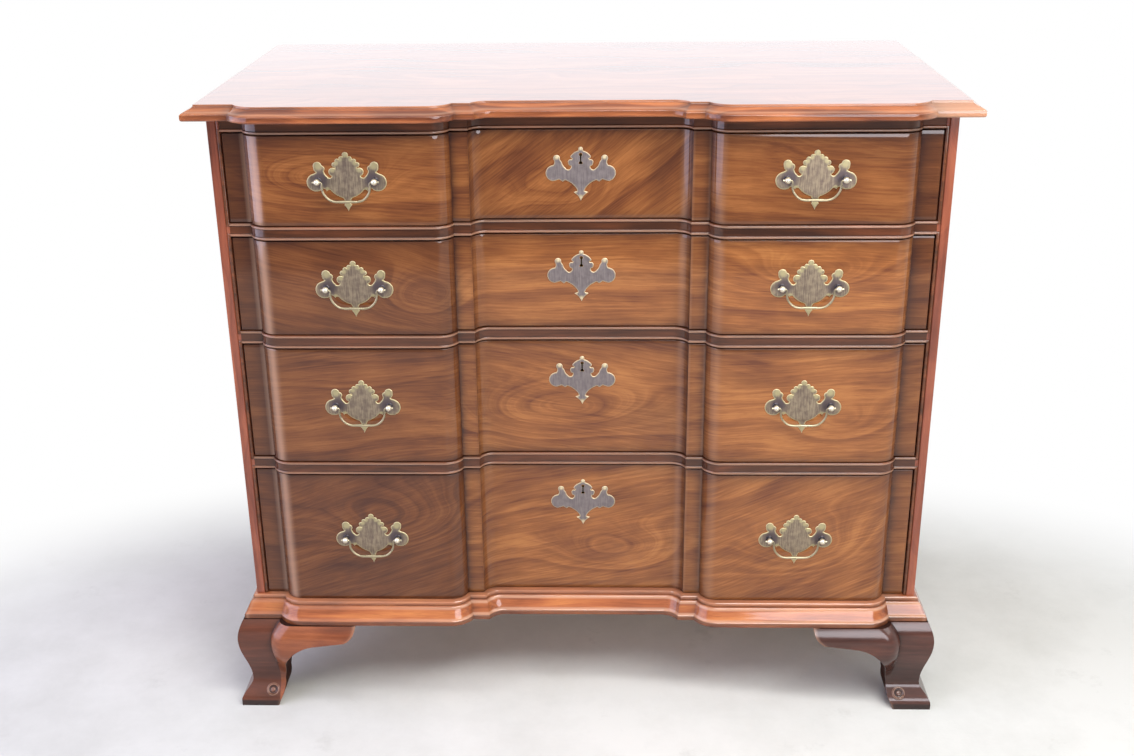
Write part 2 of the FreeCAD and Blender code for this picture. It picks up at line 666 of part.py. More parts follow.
def drawerBox(number, word):
    # Two sides, a back and a bottom that slides into grooves in the sides and the front.
    floor = f"floor{word} + slideGap"
    tall = f"opening{word} - slideGap - sideDrop"
    bottom = addBox(f"drawer_{number}_bottom",
                    ("2 * (boxInner + grooveDepth)", "boxEnd - frontBack + grooveDepth", "drawerBottom"),
                    ("-boxInner - grooveDepth", "frontBack - grooveDepth", floor + " + bottomRise"))
    boards = []
    for hand, sign in sides.items():
        edge = "boxInner" if sign > 0 else "-boxHalf"
        board = addBox(f"drawer_{number}_side_{hand}_board",
                       ("drawerSide", "boxEnd - frontBack + sideLap", tall),
                       (edge, "frontBack - sideLap", floor))
        boards.append(addCut(f"drawer_{number}_side_{hand}", board, [bottom]))
    keep(f"drawer_{number}_sides", addGroup(f"drawer_{number}_sides", boards))
    keep(f"drawer_{number}_bottom", bottom)
    keep(f"drawer_{number}_back",
         addBox(f"drawer_{number}_back", ("2 * boxInner", "drawerBack", tall + " - bottomRise - drawerBottom"),
                ("-boxInner", "boxEnd - drawerBack", floor + " + bottomRise + drawerBottom")))
    return bottom


def drawerLock(number, word):
    # A brass lock case, open at the top for its bolt, with the pin that guides the key.
    top = f"floor{word} + opening{word} - gapTop"
    case = addBox(f"drawer_{number}_lock_body", ("lockWidth", "lockThickness", "lockHeight"),
                  ("-lockWidth / 2", "lockFace", top + " - lockHeight"))
    slot = addBox(f"drawer_{number}_lock_slot",
                  ("boltWidth + 2 * boltGap", "boltThickness + 2 * boltGap", "boltLength + 2 * boltGap"),
                  ("-boltWidth / 2 - boltGap", "boltFace - boltGap", top + " - boltLength - 2 * boltGap"))
    hollow = addCut(f"drawer_{number}_lock_hollow", case, [slot])
    keyTop = getattr(size, "floor" + word) + getattr(size, "opening" + word) - size.keyDrop
    pin = addShape(f"drawer_{number}_key_pin",
                   Part.makeCylinder(size.keyPin, size.lockFace - size.recessFace,
                                     Vector(0, size.lockFace, keyTop), Vector(0, -1, 0)))
    lock = doc.addObject("Part::Fuse", f"drawer_{number}_lock_case")
    lock.Base = hollow
    lock.Tool = pin
    keep(f"drawer_{number}_lock_case", lock)
    keep(f"drawer_{number}_lock_bolt",
         addBox(f"drawer_{number}_lock_bolt", ("boltWidth", "boltThickness", "boltLength"),
                ("-boltWidth / 2", "boltFace", top + " - boltLength - boltGap")))


def symmetricPlate(half, place):
    # A face from the right half of an outline, from its top to its bottom, and the mirror of that half.
    edges = []
    here = half[0]
    for entry in half[1:]:
        *middle, there = entry
        for hand in (1, -1):
            path = [here] + middle + [there]
            points = [place((hand * x, z)) for x, z in path]
            edges.append(Part.Arc(*points).toShape() if middle else Part.makeLine(*points))
        here = there
    return Part.Face(Part.Wire(Part.__sortEdges__(edges)))


# Right half of a pull's plate about the height of its posts: a scalloped crown, an ear, a round wing
# about the post, a hollow under the arm, and a pendant.
pullPlateHalf = [
    (0, 38.4), [(3.9, 35.3), (3.1, 31.9)], [(7.6, 32.0), (8.6, 28.4)], [(13.4, 28.4), (13.8, 24.8)],
    [(18.4, 21.8), (14.6, 17.8)], [(14.2, 16.0)], [(23.4, 12.2), (19.2, 6.4)], [(21.6, 3.8), (25.6, 5.8)],
    [(28.6, 9.6), (29.6, 13.0)], [(28.8, 17.8), (32.2, 20.4)], [(39.8, 25.0), (43.2, 17.6)],
    [(42.2, 13.4), (39.8, 11.2)], [(43.6, 9.2)], [(53.4, -2.6), (40.8, -14.4)], [(36.4, -13.4), (33.6, -11.0)],
    [(30.8, -10.8), (27.4, -14.6)], [(25.4, -12.6), (22.4, -12.6)], [(15.2, -19.2), (6.0, -23.6)],
    [(4.2, -26.6), (3.0, -30.4)], [(5.2, -33.2)], [(2.2, -37.0), (0, -42.0)],
]

# Right half of the escutcheon about the height of its wings.
escutcheonHalf = [
    (0, 33.6), [(3.1, 31.0), (2.7, 28.6)], [(8.6, 26.0), (13.6, 21.0)], [(13.2, 18.8), (11.2, 17.8)],
    [(12.0, 16.4)], [(16.6, 14.8), (16.6, 11.2)], [(15.6, 8.8), (13.2, 8.0)], [(14.8, 3.2), (20.4, 4.8)],
    [(23.4, 8.0), (25.2, 12.6)], [(28.0, 16.6)], [(32.6, 22.6), (36.4, 16.4)], [(35.4, 12.0), (37.0, 8.6)],
    [(47.2, -3.2), (38.0, -13.0)], [(33.2, -12.0), (29.4, -10.6)], [(24.4, -13.8)], [(21.2, -11.6)],
    [(13.4, -15.6), (5.6, -23.8)], [(4.6, -26.6)], [(9.8, -28.4)], [(4.6, -32.6)], [(2.2, -35.8), (0, -40.2)],
]


def brassPlates(word):
    thick = Vector(0, size.plateThickness, 0)
    height = pullHeight(word)
    front = size.blockFace - size.plateThickness
    holes = Part.makeCompound(stemHoles(word, front - overrun, size.blockFace + overrun))
    plates = []
    for sign in (-1, 1):
        def onBlock(point):
            return Vector(sign * size.pullCentre + point[0], front, height + point[1])
        plates.append(symmetricPlate(pullPlateHalf, onBlock).extrude(thick).cut(holes))
    openingTop = getattr(size, "floor" + word) + getattr(size, "opening" + word)
    face = size.recessFace - size.plateThickness

    def onField(point):
        return Vector(point[0], face, openingTop - size.escutcheonDrop + point[1])

    keyhole = keyholeShape(face - overrun, size.recessFace + overrun, openingTop - size.keyDrop, 0)
    plates.append(symmetricPlate(escutcheonHalf, onField).extrude(thick).cut(keyhole))
    return Part.makeCompound(plates)


def pullPost():
    # One post about its own axis: collar, neck, ball and tip in front, and the stem behind.
    # The plate's face is at zero and the front of the post runs to -Y.
    tip = size.postReach + size.postBall
    through = size.frontBack - size.blockFace + size.plateThickness + size.stemEnd
    stem = Part.makeCylinder(size.stemRadius, through, Vector(0, 0, 0), Vector(0, 1, 0))
    collar = Part.makeCylinder(size.postCollar, size.collarThickness, Vector(0, 0, 0), Vector(0, -1, 0))
    neck = Part.makeCone(size.postFoot, size.postNeck, size.postReach, Vector(0, 0, 0), Vector(0, -1, 0))
    ball = Part.makeSphere(size.postBall, Vector(0, -size.postReach, 0))
    button = Part.makeCone(size.postTip, size.postTipEnd, size.postTipSunk + size.postTipLength,
                           Vector(0, size.postTipSunk - tip, 0), Vector(0, -1, 0))
    eye = Part.makeCylinder(size.bailPin + size.pinGap, 4 * size.postBall,
                            Vector(-2 * size.postBall, -size.postReach, 0), Vector(1, 0, 0))
    return stem.fuse([collar, neck, ball, button]).cut(eye)


def stemNut():
    # A square nut on the stem, with its seat at zero.
    half = size.nutWidth / 2
    block = Part.makeBox(size.nutWidth, size.nutThickness, size.nutWidth, Vector(-half, 0, -half))
    bore = Part.makeCylinder(size.stemRadius, size.nutThickness, Vector(0, 0, 0), Vector(0, 1, 0))
    return block.cut(bore)


def pullPosts(word):
    solids = []
    for x in postPlaces():
        plateFace = Vector(x, size.blockFace - size.plateThickness, pullHeight(word))
        solids.append(pullPost().translated(plateFace))
        solids.append(stemNut().translated(Vector(x, size.frontBack, pullHeight(word))))
    return Part.makeCompound(solids)


def bailShape():
    # One hanging bail about the middle of its hinge axis: pins, curved arms and a swelling grip.
    post = size.pullSpacing / 2
    outerEnd = post + size.pinEnd
    bend = post - size.bailBend
    drop = size.bailDrop
    corner = size.bailCorner
    shoulder = bend - size.bailLean
    points = [(-bend, 0), (-shoulder, -size.bailCurveStart), (-corner, -drop), (corner, -drop),
              (shoulder, -size.bailCurveStart), (bend, 0)]
    spots = [Vector(x, 0, z) for x, z in points]
    elbow = (corner + size.bailElbow, size.bailElbowRise - drop)
    left = Part.Arc(spots[1], Vector(-elbow[0], 0, elbow[1]), spots[2]).toShape()
    right = Part.Arc(spots[4], Vector(elbow[0], 0, elbow[1]), spots[3]).toShape()
    path = [Part.makeLine(spots[0], spots[1]), left, Part.makeLine(spots[2], spots[3]), right,
            Part.makeLine(spots[4], spots[5])]
    solids = []
    for edge in path:
        start = edge.valueAt(edge.FirstParameter)
        ring = Part.Wire(Part.makeCircle(size.bailArm, start, edge.tangentAt(edge.FirstParameter)))
        solids.append(Part.Wire(edge).makePipeShell([ring], True, True))
    solids += [Part.makeSphere(size.bailArm, spot) for spot in spots]
    for sign in (-1, 1):
        start = Vector(sign * bend, 0, 0)
        solids.append(Part.makeCylinder(size.bailPin, outerEnd - bend, start, Vector(sign, 0, 0)))
        swell = Part.makeCone(size.bailGrip, size.bailArm, corner, Vector(0, 0, -drop), Vector(sign, 0, 0))
        solids.append(swell)
    return solids[0].fuse(solids[1:]).removeSplitter()


def addPulls(number, word):
    keep(f"drawer_{number}_brass_plates", addShape(f"drawer_{number}_brass_plates", brassPlates(word)))
    keep(f"drawer_{number}_pull_posts", addShape(f"drawer_{number}_pull_posts", pullPosts(word)))
    for hand, sign in sides.items():
        place = Vector(sign * size.pullCentre, size.bailAxis, pullHeight(word))
        bail = f"drawer_{number}_bail_{hand}"
        keep(bail, addShape(bail, bailShape().translated(place)))


def addDrawers():
    for number, word in enumerate(drawers, start=1):
        bottom = drawerBox(number, word)
        drawerFront(number, word, bottom)
        drawerLock(number, word)
        addPulls(number, word)


def writeParts():
    doc.recompute()
    broken = [thing.Name for thing in doc.Objects if {"Invalid", "Error"} & set(thing.State)]
    for piece in pieces:
        if piece.Shape.isNull() or not piece.Shape.isValid() or not piece.Shape.Solids:
            broken.append(piece.Label)
    if broken:
        raise SystemExit(f"not written, because these failed: {broken}")
    os.makedirs("parts", exist_ok=True)
    for piece in pieces:
        piece.Shape.exportStep(f"parts/{piece.Label}.step")
        print(piece.Label, len(piece.Shape.Solids), "solids", round(piece.Shape.Volume), "mm3")


addCase()
addDrawers()
writeParts()
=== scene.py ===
import json
import math
from functools import partial
import bpy
import bmesh
import numpy as np
from mathutils import Matrix, Vector
from mathutils.geometry import delaunay_2d_cdt


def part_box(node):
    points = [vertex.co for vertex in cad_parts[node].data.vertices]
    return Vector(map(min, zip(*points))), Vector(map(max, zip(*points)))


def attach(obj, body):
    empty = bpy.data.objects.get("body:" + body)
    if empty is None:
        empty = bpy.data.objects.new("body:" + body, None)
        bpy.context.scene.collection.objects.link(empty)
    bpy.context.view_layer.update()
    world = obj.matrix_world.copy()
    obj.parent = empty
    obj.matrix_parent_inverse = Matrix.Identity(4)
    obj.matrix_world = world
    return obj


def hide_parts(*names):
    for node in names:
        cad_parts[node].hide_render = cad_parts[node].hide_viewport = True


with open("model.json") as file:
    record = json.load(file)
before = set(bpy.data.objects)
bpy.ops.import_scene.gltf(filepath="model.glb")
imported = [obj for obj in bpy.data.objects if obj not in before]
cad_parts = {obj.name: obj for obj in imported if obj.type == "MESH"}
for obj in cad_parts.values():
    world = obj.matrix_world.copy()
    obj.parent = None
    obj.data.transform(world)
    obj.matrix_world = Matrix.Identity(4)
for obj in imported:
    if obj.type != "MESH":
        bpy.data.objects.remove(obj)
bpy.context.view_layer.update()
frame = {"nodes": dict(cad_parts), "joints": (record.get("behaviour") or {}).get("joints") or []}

nodes = frame["nodes"]
drawerNumbers = (1, 2, 3, 4)
handSigns = {"left": -1, "right": 1}
print("frame loaded:", len(nodes), "nodes")


# Camera, lamps and floor

cameraView = {
    "place": (0.03372, -2.03425, 1.26989), "yaw": -0.0303, "pitch": 0.3865, "roll": -0.0116,
    "lens": 43.93, "sensor": 36,
}

# place, target, width and height in metres, watts, colour and shape
softBoxes = {
    "window": ((0.75, -1.5, 2.15), (0.1, -0.2, 0.3), (2.2, 0.6), 39, "#FFFFFF", "ELLIPSE"),
    "door": ((1.15, -2.4, 0.85), (0.3, -0.2, 0.15), (1.4, 0.8), 22, "#FAF8FF", "ELLIPSE"),
    "strip": ((-0.1, -1.1, 2.6), (0, -0.25, 0.5), (3.8, 0.3), 29, "#FFFFFF", "RECTANGLE"),
    "behind": ((0, 2.4, 1.75), (0, 0, 0.95), (5.0, 1.5), 17, "#EEF4FF", "RECTANGLE"),
    "left": ((-1.9, -0.9, 1.0), (0, -0.3, 0.5), (2.4, 1.7), 38, "#DEDCFF", "RECTANGLE"),
    "right": ((2.3, -0.9, 1.8), (0, -0.25, 0.5), (1.6, 1.2), 16, "#FFFFFF", "RECTANGLE"),
}

# how bright the white surround is where it lights the object, and where it is seen or mirrored; low in front
# of the chest what is mirrored is darker, and it turns white between the two limits of each direction
worldLight = {"lit": 0.2, "seen": 1.0, "front": 0.35, "limits": {"Y": (-0.9, -0.15), "Z": (0.05, 0.4)}}
# noises: scale, detail and roughness of the clouds, the stains and the grit
floorLook = {"half": 2.4, "pale": "#DBDBD6", "grey": "#C8C8C2", "stain": "#B5B4AD",
             "noises": ((1.6, 9.0, 0.68), (7.0, 6.0, 0.7), (220, 3.0, 0.5)),
             "fade": (0.75, 1.2), "fadeShape": (0.75, 1.15, 1), "fadeMiddle": (0, -0.4, 0)}


def linear(text):
    # An sRGB hex value as linear red, green, blue and alpha.
    parts = [int(text[i:i + 2], 16) / 255 for i in (1, 3, 5)]
    return tuple(p / 12.92 if p <= 0.04045 else ((p + 0.055) / 1.055) ** 2.4 for p in parts) + (1,)


def socketOf(sockets, key):
    # A socket by its identifier, its name or its number.
    found = {socket.identifier: socket for socket in sockets}
    return found[key] if key in found else sockets[key]


def addNode(tree, kind, output=0, inputs=(), stops=(), **settings):
    # Adds a node, fills or links its inputs, given in order or by name, and gives back one output socket.
    made = tree.nodes.new("ShaderNode" + kind)
    for key, value in settings.items():
        setattr(made, key, value)
    while stops and len(made.color_ramp.elements) < len(stops):
        made.color_ramp.elements.new(0.5)
    for number, (place, color) in enumerate(stops):
        made.color_ramp.elements[number].position = place
        made.color_ramp.elements[number].color = linear(color)
    for key, value in inputs.items() if isinstance(inputs, dict) else enumerate(inputs):
        target = socketOf(made.inputs, key)
        if isinstance(value, bpy.types.NodeSocket):
            tree.links.new(value, target)
        else:
            target.default_value = value
    return socketOf(made.outputs, output) if made.outputs else made


def newMaterial(name):
    # An empty material, and the function that adds a node to it.
    material = bpy.data.materials.new(name)
    material.use_nodes = True
    material.node_tree.nodes.clear()
    return material, partial(addNode, material.node_tree)


def seenRays(add):
    # 1 for rays straight from the camera, and 1 for those and the ones by way of a mirror or glass.
    camera = add("LightPath", "Is Camera Ray")
    seen = camera
    for name in ("Is Glossy Ray", "Is Transmission Ray"):
        seen = add("Math", "Value", [seen, camera.node.outputs[name]], operation="MAXIMUM")
    return camera, seen


def showObject(name, data):
    made = bpy.data.objects.new(name, data)
    bpy.context.scene.collection.objects.link(made)
    return made


def addCamera():
    yaw, pitch, roll = (cameraView[key] for key in ("yaw", "pitch", "roll"))
    forward = Vector((math.sin(yaw) * math.cos(pitch), math.cos(yaw) * math.cos(pitch), -math.sin(pitch)))
    level = Vector((math.cos(yaw), -math.sin(yaw), 0))
    upright = level.cross(forward)
    right = math.cos(roll) * level + math.sin(roll) * upright
    up = math.cos(roll) * upright - math.sin(roll) * level
    data = bpy.data.cameras.new("camera")
    data.lens = cameraView["lens"]
    data.sensor_width = cameraView["sensor"]
    camera = showObject("camera", data)
    turn = Matrix((right, up, -forward)).transposed().to_4x4()
    camera.matrix_world = Matrix.Translation(cameraView["place"]) @ turn
    bpy.context.scene.camera = camera


def addLamps():
    for name, (place, target, size, power, color, shape) in softBoxes.items():
        data = bpy.data.lights.new(name, "AREA")
        data.shape = shape
        data.size, data.size_y = size
        data.energy = power
        data.color = linear(color)[:3]
        lamp = showObject(name, data)
        lamp.location = place
        lamp.rotation_euler = (Vector(target) - Vector(place)).to_track_quat("-Z", "Y").to_euler()
        lamp.visible_camera = False


def addWorld():
    world = bpy.data.worlds.new("studio")
    world.use_nodes = True
    world.node_tree.nodes.clear()
    add = partial(addNode, world.node_tree)
    camera, seen = seenRays(add)
    direction = add("TexCoord", "Generated")
    ramps = []
    for axis, (start, end) in worldLight["limits"].items():
        part = add("SeparateXYZ", axis, [direction])
        ramps.append(add("MapRange", "Result", [part, start, end, worldLight["front"], worldLight["seen"]]))
    mirrored = add("Math", "Value", ramps, operation="MAXIMUM")
    shown = add("Mix", "Result_Float", {
        "Factor_Float": camera, "A_Float": mirrored, "B_Float": worldLight["seen"]})
    strength = add("Mix", "Result_Float", {
        "Factor_Float": seen, "A_Float": worldLight["lit"], "B_Float": shown})
    light = add("Background", "Background", {"Color": (1, 1, 1, 1), "Strength": strength})
    add("OutputWorld", inputs={"Surface": light})
    bpy.context.scene.world = world


def concrete():
    # Concrete, trowelled and worn: pale grey clouds, fine grit and a few darker stains. Far from the chest it
    # fades to white where it is seen.
    material, add = newMaterial("trowelledConcrete")
    place = add("TexCoord", "Object")
    cloud, spot, grit = (add("TexNoise", "Fac", [place, 0.0, *noise]) for noise in floorLook["noises"])
    clouded = add("ValToRGB", "Color", [cloud], stops=[(0.36, floorLook["grey"]), (0.6, floorLook["pale"])])
    spotted = add("MapRange", "Result", [spot, 0.6, 0.72, 0.0, 0.4])
    stained = add("Mix", "Result_Color", {
        "Factor_Float": spotted, "A_Color": clouded, "B_Color": linear(floorLook["stain"])}, data_type="RGBA")
    bump = add("Bump", "Normal", {"Height": grit, "Strength": 0.15, "Distance": 0.001})
    surface = add("BsdfPrincipled", "BSDF", {
        "Base Color": stained, "Roughness": 0.75, "Specular IOR Level": 0.2, "Normal": bump})
    centred = add("VectorMath", "Vector", [place, floorLook["fadeMiddle"]], operation="SUBTRACT")
    shaped = add("Mapping", "Vector", {"Vector": centred, "Scale": floorLook["fadeShape"]})
    far = add("VectorMath", "Value", [shaped], operation="LENGTH")
    fade = add("MapRange", "Result", [far, *floorLook["fade"]], interpolation_type="SMOOTHSTEP")
    amount = add("Math", "Value", [fade, seenRays(add)[1]], operation="MULTIPLY")
    white = add("Emission", "Emission", {"Color": (1, 1, 1, 1), "Strength": 1.0})
    mixed = add("MixShader", "Shader", [amount, surface, white])
    add("OutputMaterial", inputs={"Surface": mixed})
    return material


def addFloor():
    half = floorLook["half"]
    corners = [(x * half, y * half, 0) for x, y in ((-1, -1), (1, -1), (1, 1), (-1, 1))]
    mesh = bpy.data.meshes.new("floor")
    mesh.from_pydata(corners, [], [(0, 1, 2, 3)])
    mesh.materials.append(concrete())
    showObject("floor", mesh)


addCamera()
addLamps()
addWorld()
addFloor()
bpy.context.scene.view_settings.view_transform = "Standard"
print("camera, lamps and floor made")


# Wood

# Sizes in metres. tones: dark, middle and light. grain: which axis it runs along. ring: spacing of the
# growth bands. swirl: how many bands the broad figure lifts them by. bend: how far the grain wanders. streak
# and pore: length and width of the finer marks. patch: size of the cloudy shading. like: another wood that
# it takes the rest from. seed: which part of the patterns it shows.
# glaze: the colour of the glaze and of painted shade
plainWood = {"glazeAndShade": "#2A1712", "grain": "x", "leaf": False, "patch": 0.12, "pore": (0.02, 0.0009),
             "rough": 0.4, "coat": 1.0, "coatRough": 0.12}
woods = {
    # Mahogany veneer, flat cut and figured, stained and sprayed with lacquer: orange-brown bands that
    # drift and close into ovals under a clear film.
    "frontVeneer": {"tones": ("#63351C", "#8B542A", "#AB6F3B"), "glazeAndShade": "#2C120D", "leaf": True,
                    "ring": 0.022, "swirl": 7.0, "bend": 0.014, "streak": (0.07, 0.0022),
                    "pore": (0.012, 0.0008), "coatRough": 0.08},
    # Solid mahogany, moulded and lacquered: redder, with a wet shine on each bead.
    "mouldedMahogany": {"tones": ("#6F3820", "#A65D35", "#C47A45"), "seed": 1, "ring": 0.02, "swirl": 2.5,
                        "bend": 0.01, "streak": (0.1, 0.005), "pore": (0.014, 0.0009), "rough": 0.35,
                        "coatRough": 0.07},
    # The same on the rails, where stain and glaze are deep, on the top's edge and on pieces that run back.
    "railMahogany": {"like": "mouldedMahogany", "tones": ("#3D2112", "#5F341B", "#7C4427"), "seed": 7,
                     "glazeAndShade": "#240F0A"},
    "edgeMahogany": {"like": "mouldedMahogany", "tones": ("#683521", "#9C5833", "#BE7242"), "seed": 13},
    "endMahogany": {"like": "edgeMahogany", "seed": 14, "grain": "y"},
    "sideMoulding": {"like": "mouldedMahogany", "seed": 3, "grain": "y"},
    # The top's veneer, polished hard: red-brown under a mirror film.
    "topVeneer": {"tones": ("#6B3727", "#8A4A30", "#A05E3E"), "seed": 2, "ring": 0.04, "swirl": 5.0,
                  "bend": 0.022, "streak": (0.2, 0.008), "patch": 0.2, "rough": 0.3, "coatRough": 0.05},
    # Upright boards of the case: plain mahogany, stained red-brown.
    "caseMahogany": {"tones": ("#572C21", "#834632", "#A35C40"), "seed": 3, "grain": "z", "ring": 0.03,
                     "swirl": 4.0, "bend": 0.012, "streak": (0.2, 0.007), "patch": 0.2},
    # Carved feet, stained darker and redder, and sawn rough and dull behind. The left wing's paler wood is
    # painted light, and the right foot's darker wood is painted shade.
    "carvedMahogany": {"tones": ("#492618", "#5F3220", "#783E2A"), "seed": 4, "glazeAndShade": "#1E100D",
                       "ring": 0.08, "swirl": 1.5, "bend": 0.02, "streak": (0.1, 0.006),
                       "pore": (0.012, 0.0009), "coatRough": 0.2},
    "litWingMahogany": {"like": "carvedMahogany", "tones": ("#5E311D", "#804428", "#9C5A36"), "seed": 9},
    "shadedFootMahogany": {"like": "carvedMahogany", "tones": ("#331D17", "#472820", "#5E362A"), "seed": 12,
                     "coatRough": 0.14},
    "sawnMahogany": {"like": "carvedMahogany", "tones": ("#281713", "#38211A", "#4A2C22"), "seed": 10,
                     "coat": 0.0, "rough": 0.75},
    # Poplar inside the case: planed and left bare, pale and dull, except the glue blocks, which are painted
    # near black as shade.
    "planedPoplar": {"tones": ("#997350", "#BC966C", "#D2B088"), "seed": 5, "ring": 0.02, "swirl": 3.0,
                     "bend": 0.012, "streak": (0.2, 0.006), "patch": 0.3, "rough": 0.62, "coat": 0.0,
                     "coatRough": 0.3},
    "poplarDeep": {"like": "planedPoplar", "seed": 6, "grain": "y"},
    "poplarUpright": {"like": "planedPoplar", "seed": 8, "grain": "z"},
    "poplarPaintedShade": {"like": "poplarUpright", "tones": ("#1F1410", "#2F1F18", "#3E2A20"), "seed": 11},
}
grainTurns = {"x": (0, 0, 0), "y": (0, 0, math.pi / 2), "z": (0, math.pi / 2, 0)}
# pale wood for worn arrises, and for painted highlights and painted reflections
paleForWearAndHighlight = "#C9A084"


def woodLook(name):
    own = woods[name]
    return {**(woodLook(own["like"]) if "like" in own else plainWood), **own}


def makeWood(name):
    wood = woodLook(name)
    material, add = newMaterial(name)
    keys = ("swell", "glazeAndShade", "wearAndHighlight") + (("tilt", "leaf", "figure", "toneAndShade") if wood["leaf"] else ())
    mark = {key: add("Attribute", "Fac", attribute_name=key) for key in keys}
    if wood["leaf"]:
        laid = add("UVMap", "UV", uv_map="veneer")
        place = add("VectorRotate", "Vector", {"Vector": laid, "Angle": mark["tilt"]}, rotation_type="Z_AXIS")
        chance = mark["leaf"]
        lift = add("Math", "Value", [mark["figure"], wood["swirl"]], operation="MULTIPLY")
    else:
        placed = add("TexCoord", "Object")
        place = add("Mapping", "Vector", {"Vector": placed, "Rotation": grainTurns[wood["grain"]]})
        chance = wood["seed"] * 3.7
        lift = wood["swirl"]

    def noise(vector, along, across, detail, roughness=0.5, output="Fac"):
        # Noise whose grains are as long and as wide as the two sizes.
        scaled = add("Mapping", "Vector", {"Vector": vector, "Scale": (1 / along, 1 / across, 1 / across)})
        return add("TexNoise", output, [scaled, chance, 1.0, detail, roughness], noise_dimensions="4D")

    # the grain wanders: broad noise moves the point that the finer patterns are read at
    wander = noise(place, 2.5 * wood["patch"], wood["patch"], 2.0, output="Color")
    centred = add("VectorMath", "Vector", [wander, (0.5, 0.5, 0.5)], operation="SUBTRACT")
    moved = add("VectorMath", "Vector", {"Vector": centred, "Scale": wood["bend"] * 2}, operation="SCALE")
    bent = add("VectorMath", "Vector", [place, moved], operation="ADD")
    # growth bands: uneven stripes read along the height of a broad, smooth figure
    upward = add("SeparateXYZ", "Y", [bent])
    across = add("Math", "Value", [upward, upward.node.outputs["Z"]], operation="ADD")
    count = add("Math", "Value", [across, wood["ring"]], operation="DIVIDE")
    height = add("Math", "Value", [noise(place, 0.16, 0.07, 1.0), lift, count], operation="MULTIPLY_ADD")
    height = add("Math", "Value", [height, mark["swell"]], operation="ADD")
    band = add("TexNoise", "Fac", {"W": height, "Scale": 1.0, "Detail": 4.0, "Roughness": 0.55},
               noise_dimensions="1D")
    streak = noise(bent, *wood["streak"], 4.0, 0.6)
    cloud = noise(place, 0.7 * wood["patch"], 0.35 * wood["patch"], 2.0)
    mixed = 0.0
    for pattern, weight in ((cloud, 0.3), (streak, 0.32), (band, 0.38)):
        mixed = add("Math", "Value", [pattern, weight, mixed], operation="MULTIPLY_ADD")
    tone = add("ValToRGB", "Color", [mixed], stops=list(zip((0.38, 0.5, 0.62), wood["tones"])))
    pore = noise(bent, *wood["pore"], 1.0)
    pored = add("MapRange", "Result", [pore, 0.56, 0.72, 0.0, 0.3])
    smear = add("MapRange", "Result", [noise(place, 0.03, 0.012, 3.0), 0.3, 0.7, 0.8, 1.1])
    glazedAndShaded = add("Math", "Value", [mark["glazeAndShade"], smear], operation="MULTIPLY", use_clamp=True)
    # dark pores, glaze rubbed into the corners together with painted shade, with a soft broken edge,
    # and pale wood for worn arrises and for painted highlights
    for amount, color in ((pored, wood["tones"][0]), (glazedAndShaded, wood["glazeAndShade"]), (mark["wearAndHighlight"], paleForWearAndHighlight)):
        tone = add("Mix", "Result_Color", {"Factor_Float": amount, "A_Color": tone, "B_Color": linear(color)},
                   data_type="RGBA")
        if amount is pored and wood["leaf"]:
            # each leaf has its own tint, partly the veneer's own tone and partly painted shade, and the
            # darker leaves are redder
            deep = add("Math", "Value", [mark["toneAndShade"], 1.16], operation="POWER")
            shade = add("CombineXYZ", "Vector", [mark["toneAndShade"], deep, deep])
            tone = add("VectorMath", "Vector", [tone, shade], operation="MULTIPLY")
    bump = add("Bump", "Normal", {"Height": pore, "Strength": 0.06, "Distance": 0.0004})
    surface = add("BsdfPrincipled", "BSDF", {
        "Base Color": tone, "Roughness": wood["rough"], "IOR": 1.5, "Specular IOR Level": 0.05,
        "Coat Weight": wood["coat"], "Coat Roughness": wood["coatRough"], "Coat IOR": 1.48, "Normal": bump})
    add("OutputMaterial", inputs={"Surface": surface})
    return material


materials = {name: makeWood(name) for name in woods}
print("woods made")


# Brass

# edge: painted highlight on the arris. pale: painted highlight on lobes and rims. dull and dark: brushed
# body.
# shade: patina round the posts, and painted shade behind the posts' collars.
brasses = {
    # Cast brass plates, brushed upright and left to tarnish: brown-grey bodies; the pale olive lobes are
    # painted highlight.
    "brushedPlate": {"edge": "#D9CEA4", "pale": "#ADA27A", "dull": "#95866F", "dark": "#6E5F54",
                     "shade": "#5A4F50", "metal": 0.6, "rough": 0.4},
    # Escutcheons, flatter and greyer; the thin gold rim is painted highlight.
    "greyPlate": {"edge": "#DCCDA8", "pale": "#B8A98A", "dull": "#867C7A", "dark": "#6F6666",
                  "shade": "#5A5558", "metal": 0.6, "rough": 0.42},
    # Turned posts: the cream heads are painted highlight, and the dark grey is painted shade behind the
    # collars.
    "turnedBrass": {"edge": "#DED8C6", "pale": "#C6BDA2", "dull": "#A89C80", "dark": "#8E8269",
                    "shade": "#3E3A3E", "metal": 0.8, "rough": 0.3},
    # Drawn and bent bails, half bright, with painted highlight along them.
    "drawnBrass": {"edge": "#E0D8BC", "pale": "#AEA384", "dull": "#8A8069", "dark": "#756B5A",
                   "shade": "#4F4A50", "metal": 0.75, "rough": 0.3},
    # Lock cases inside the drawers, milled.
    "milledBrass": {"edge": "#A08A58", "pale": "#8A7448", "dull": "#5F4D2E", "dark": "#3E3220",
                    "shade": "#4F4A50", "metal": 1.0, "rough": 0.4},
}


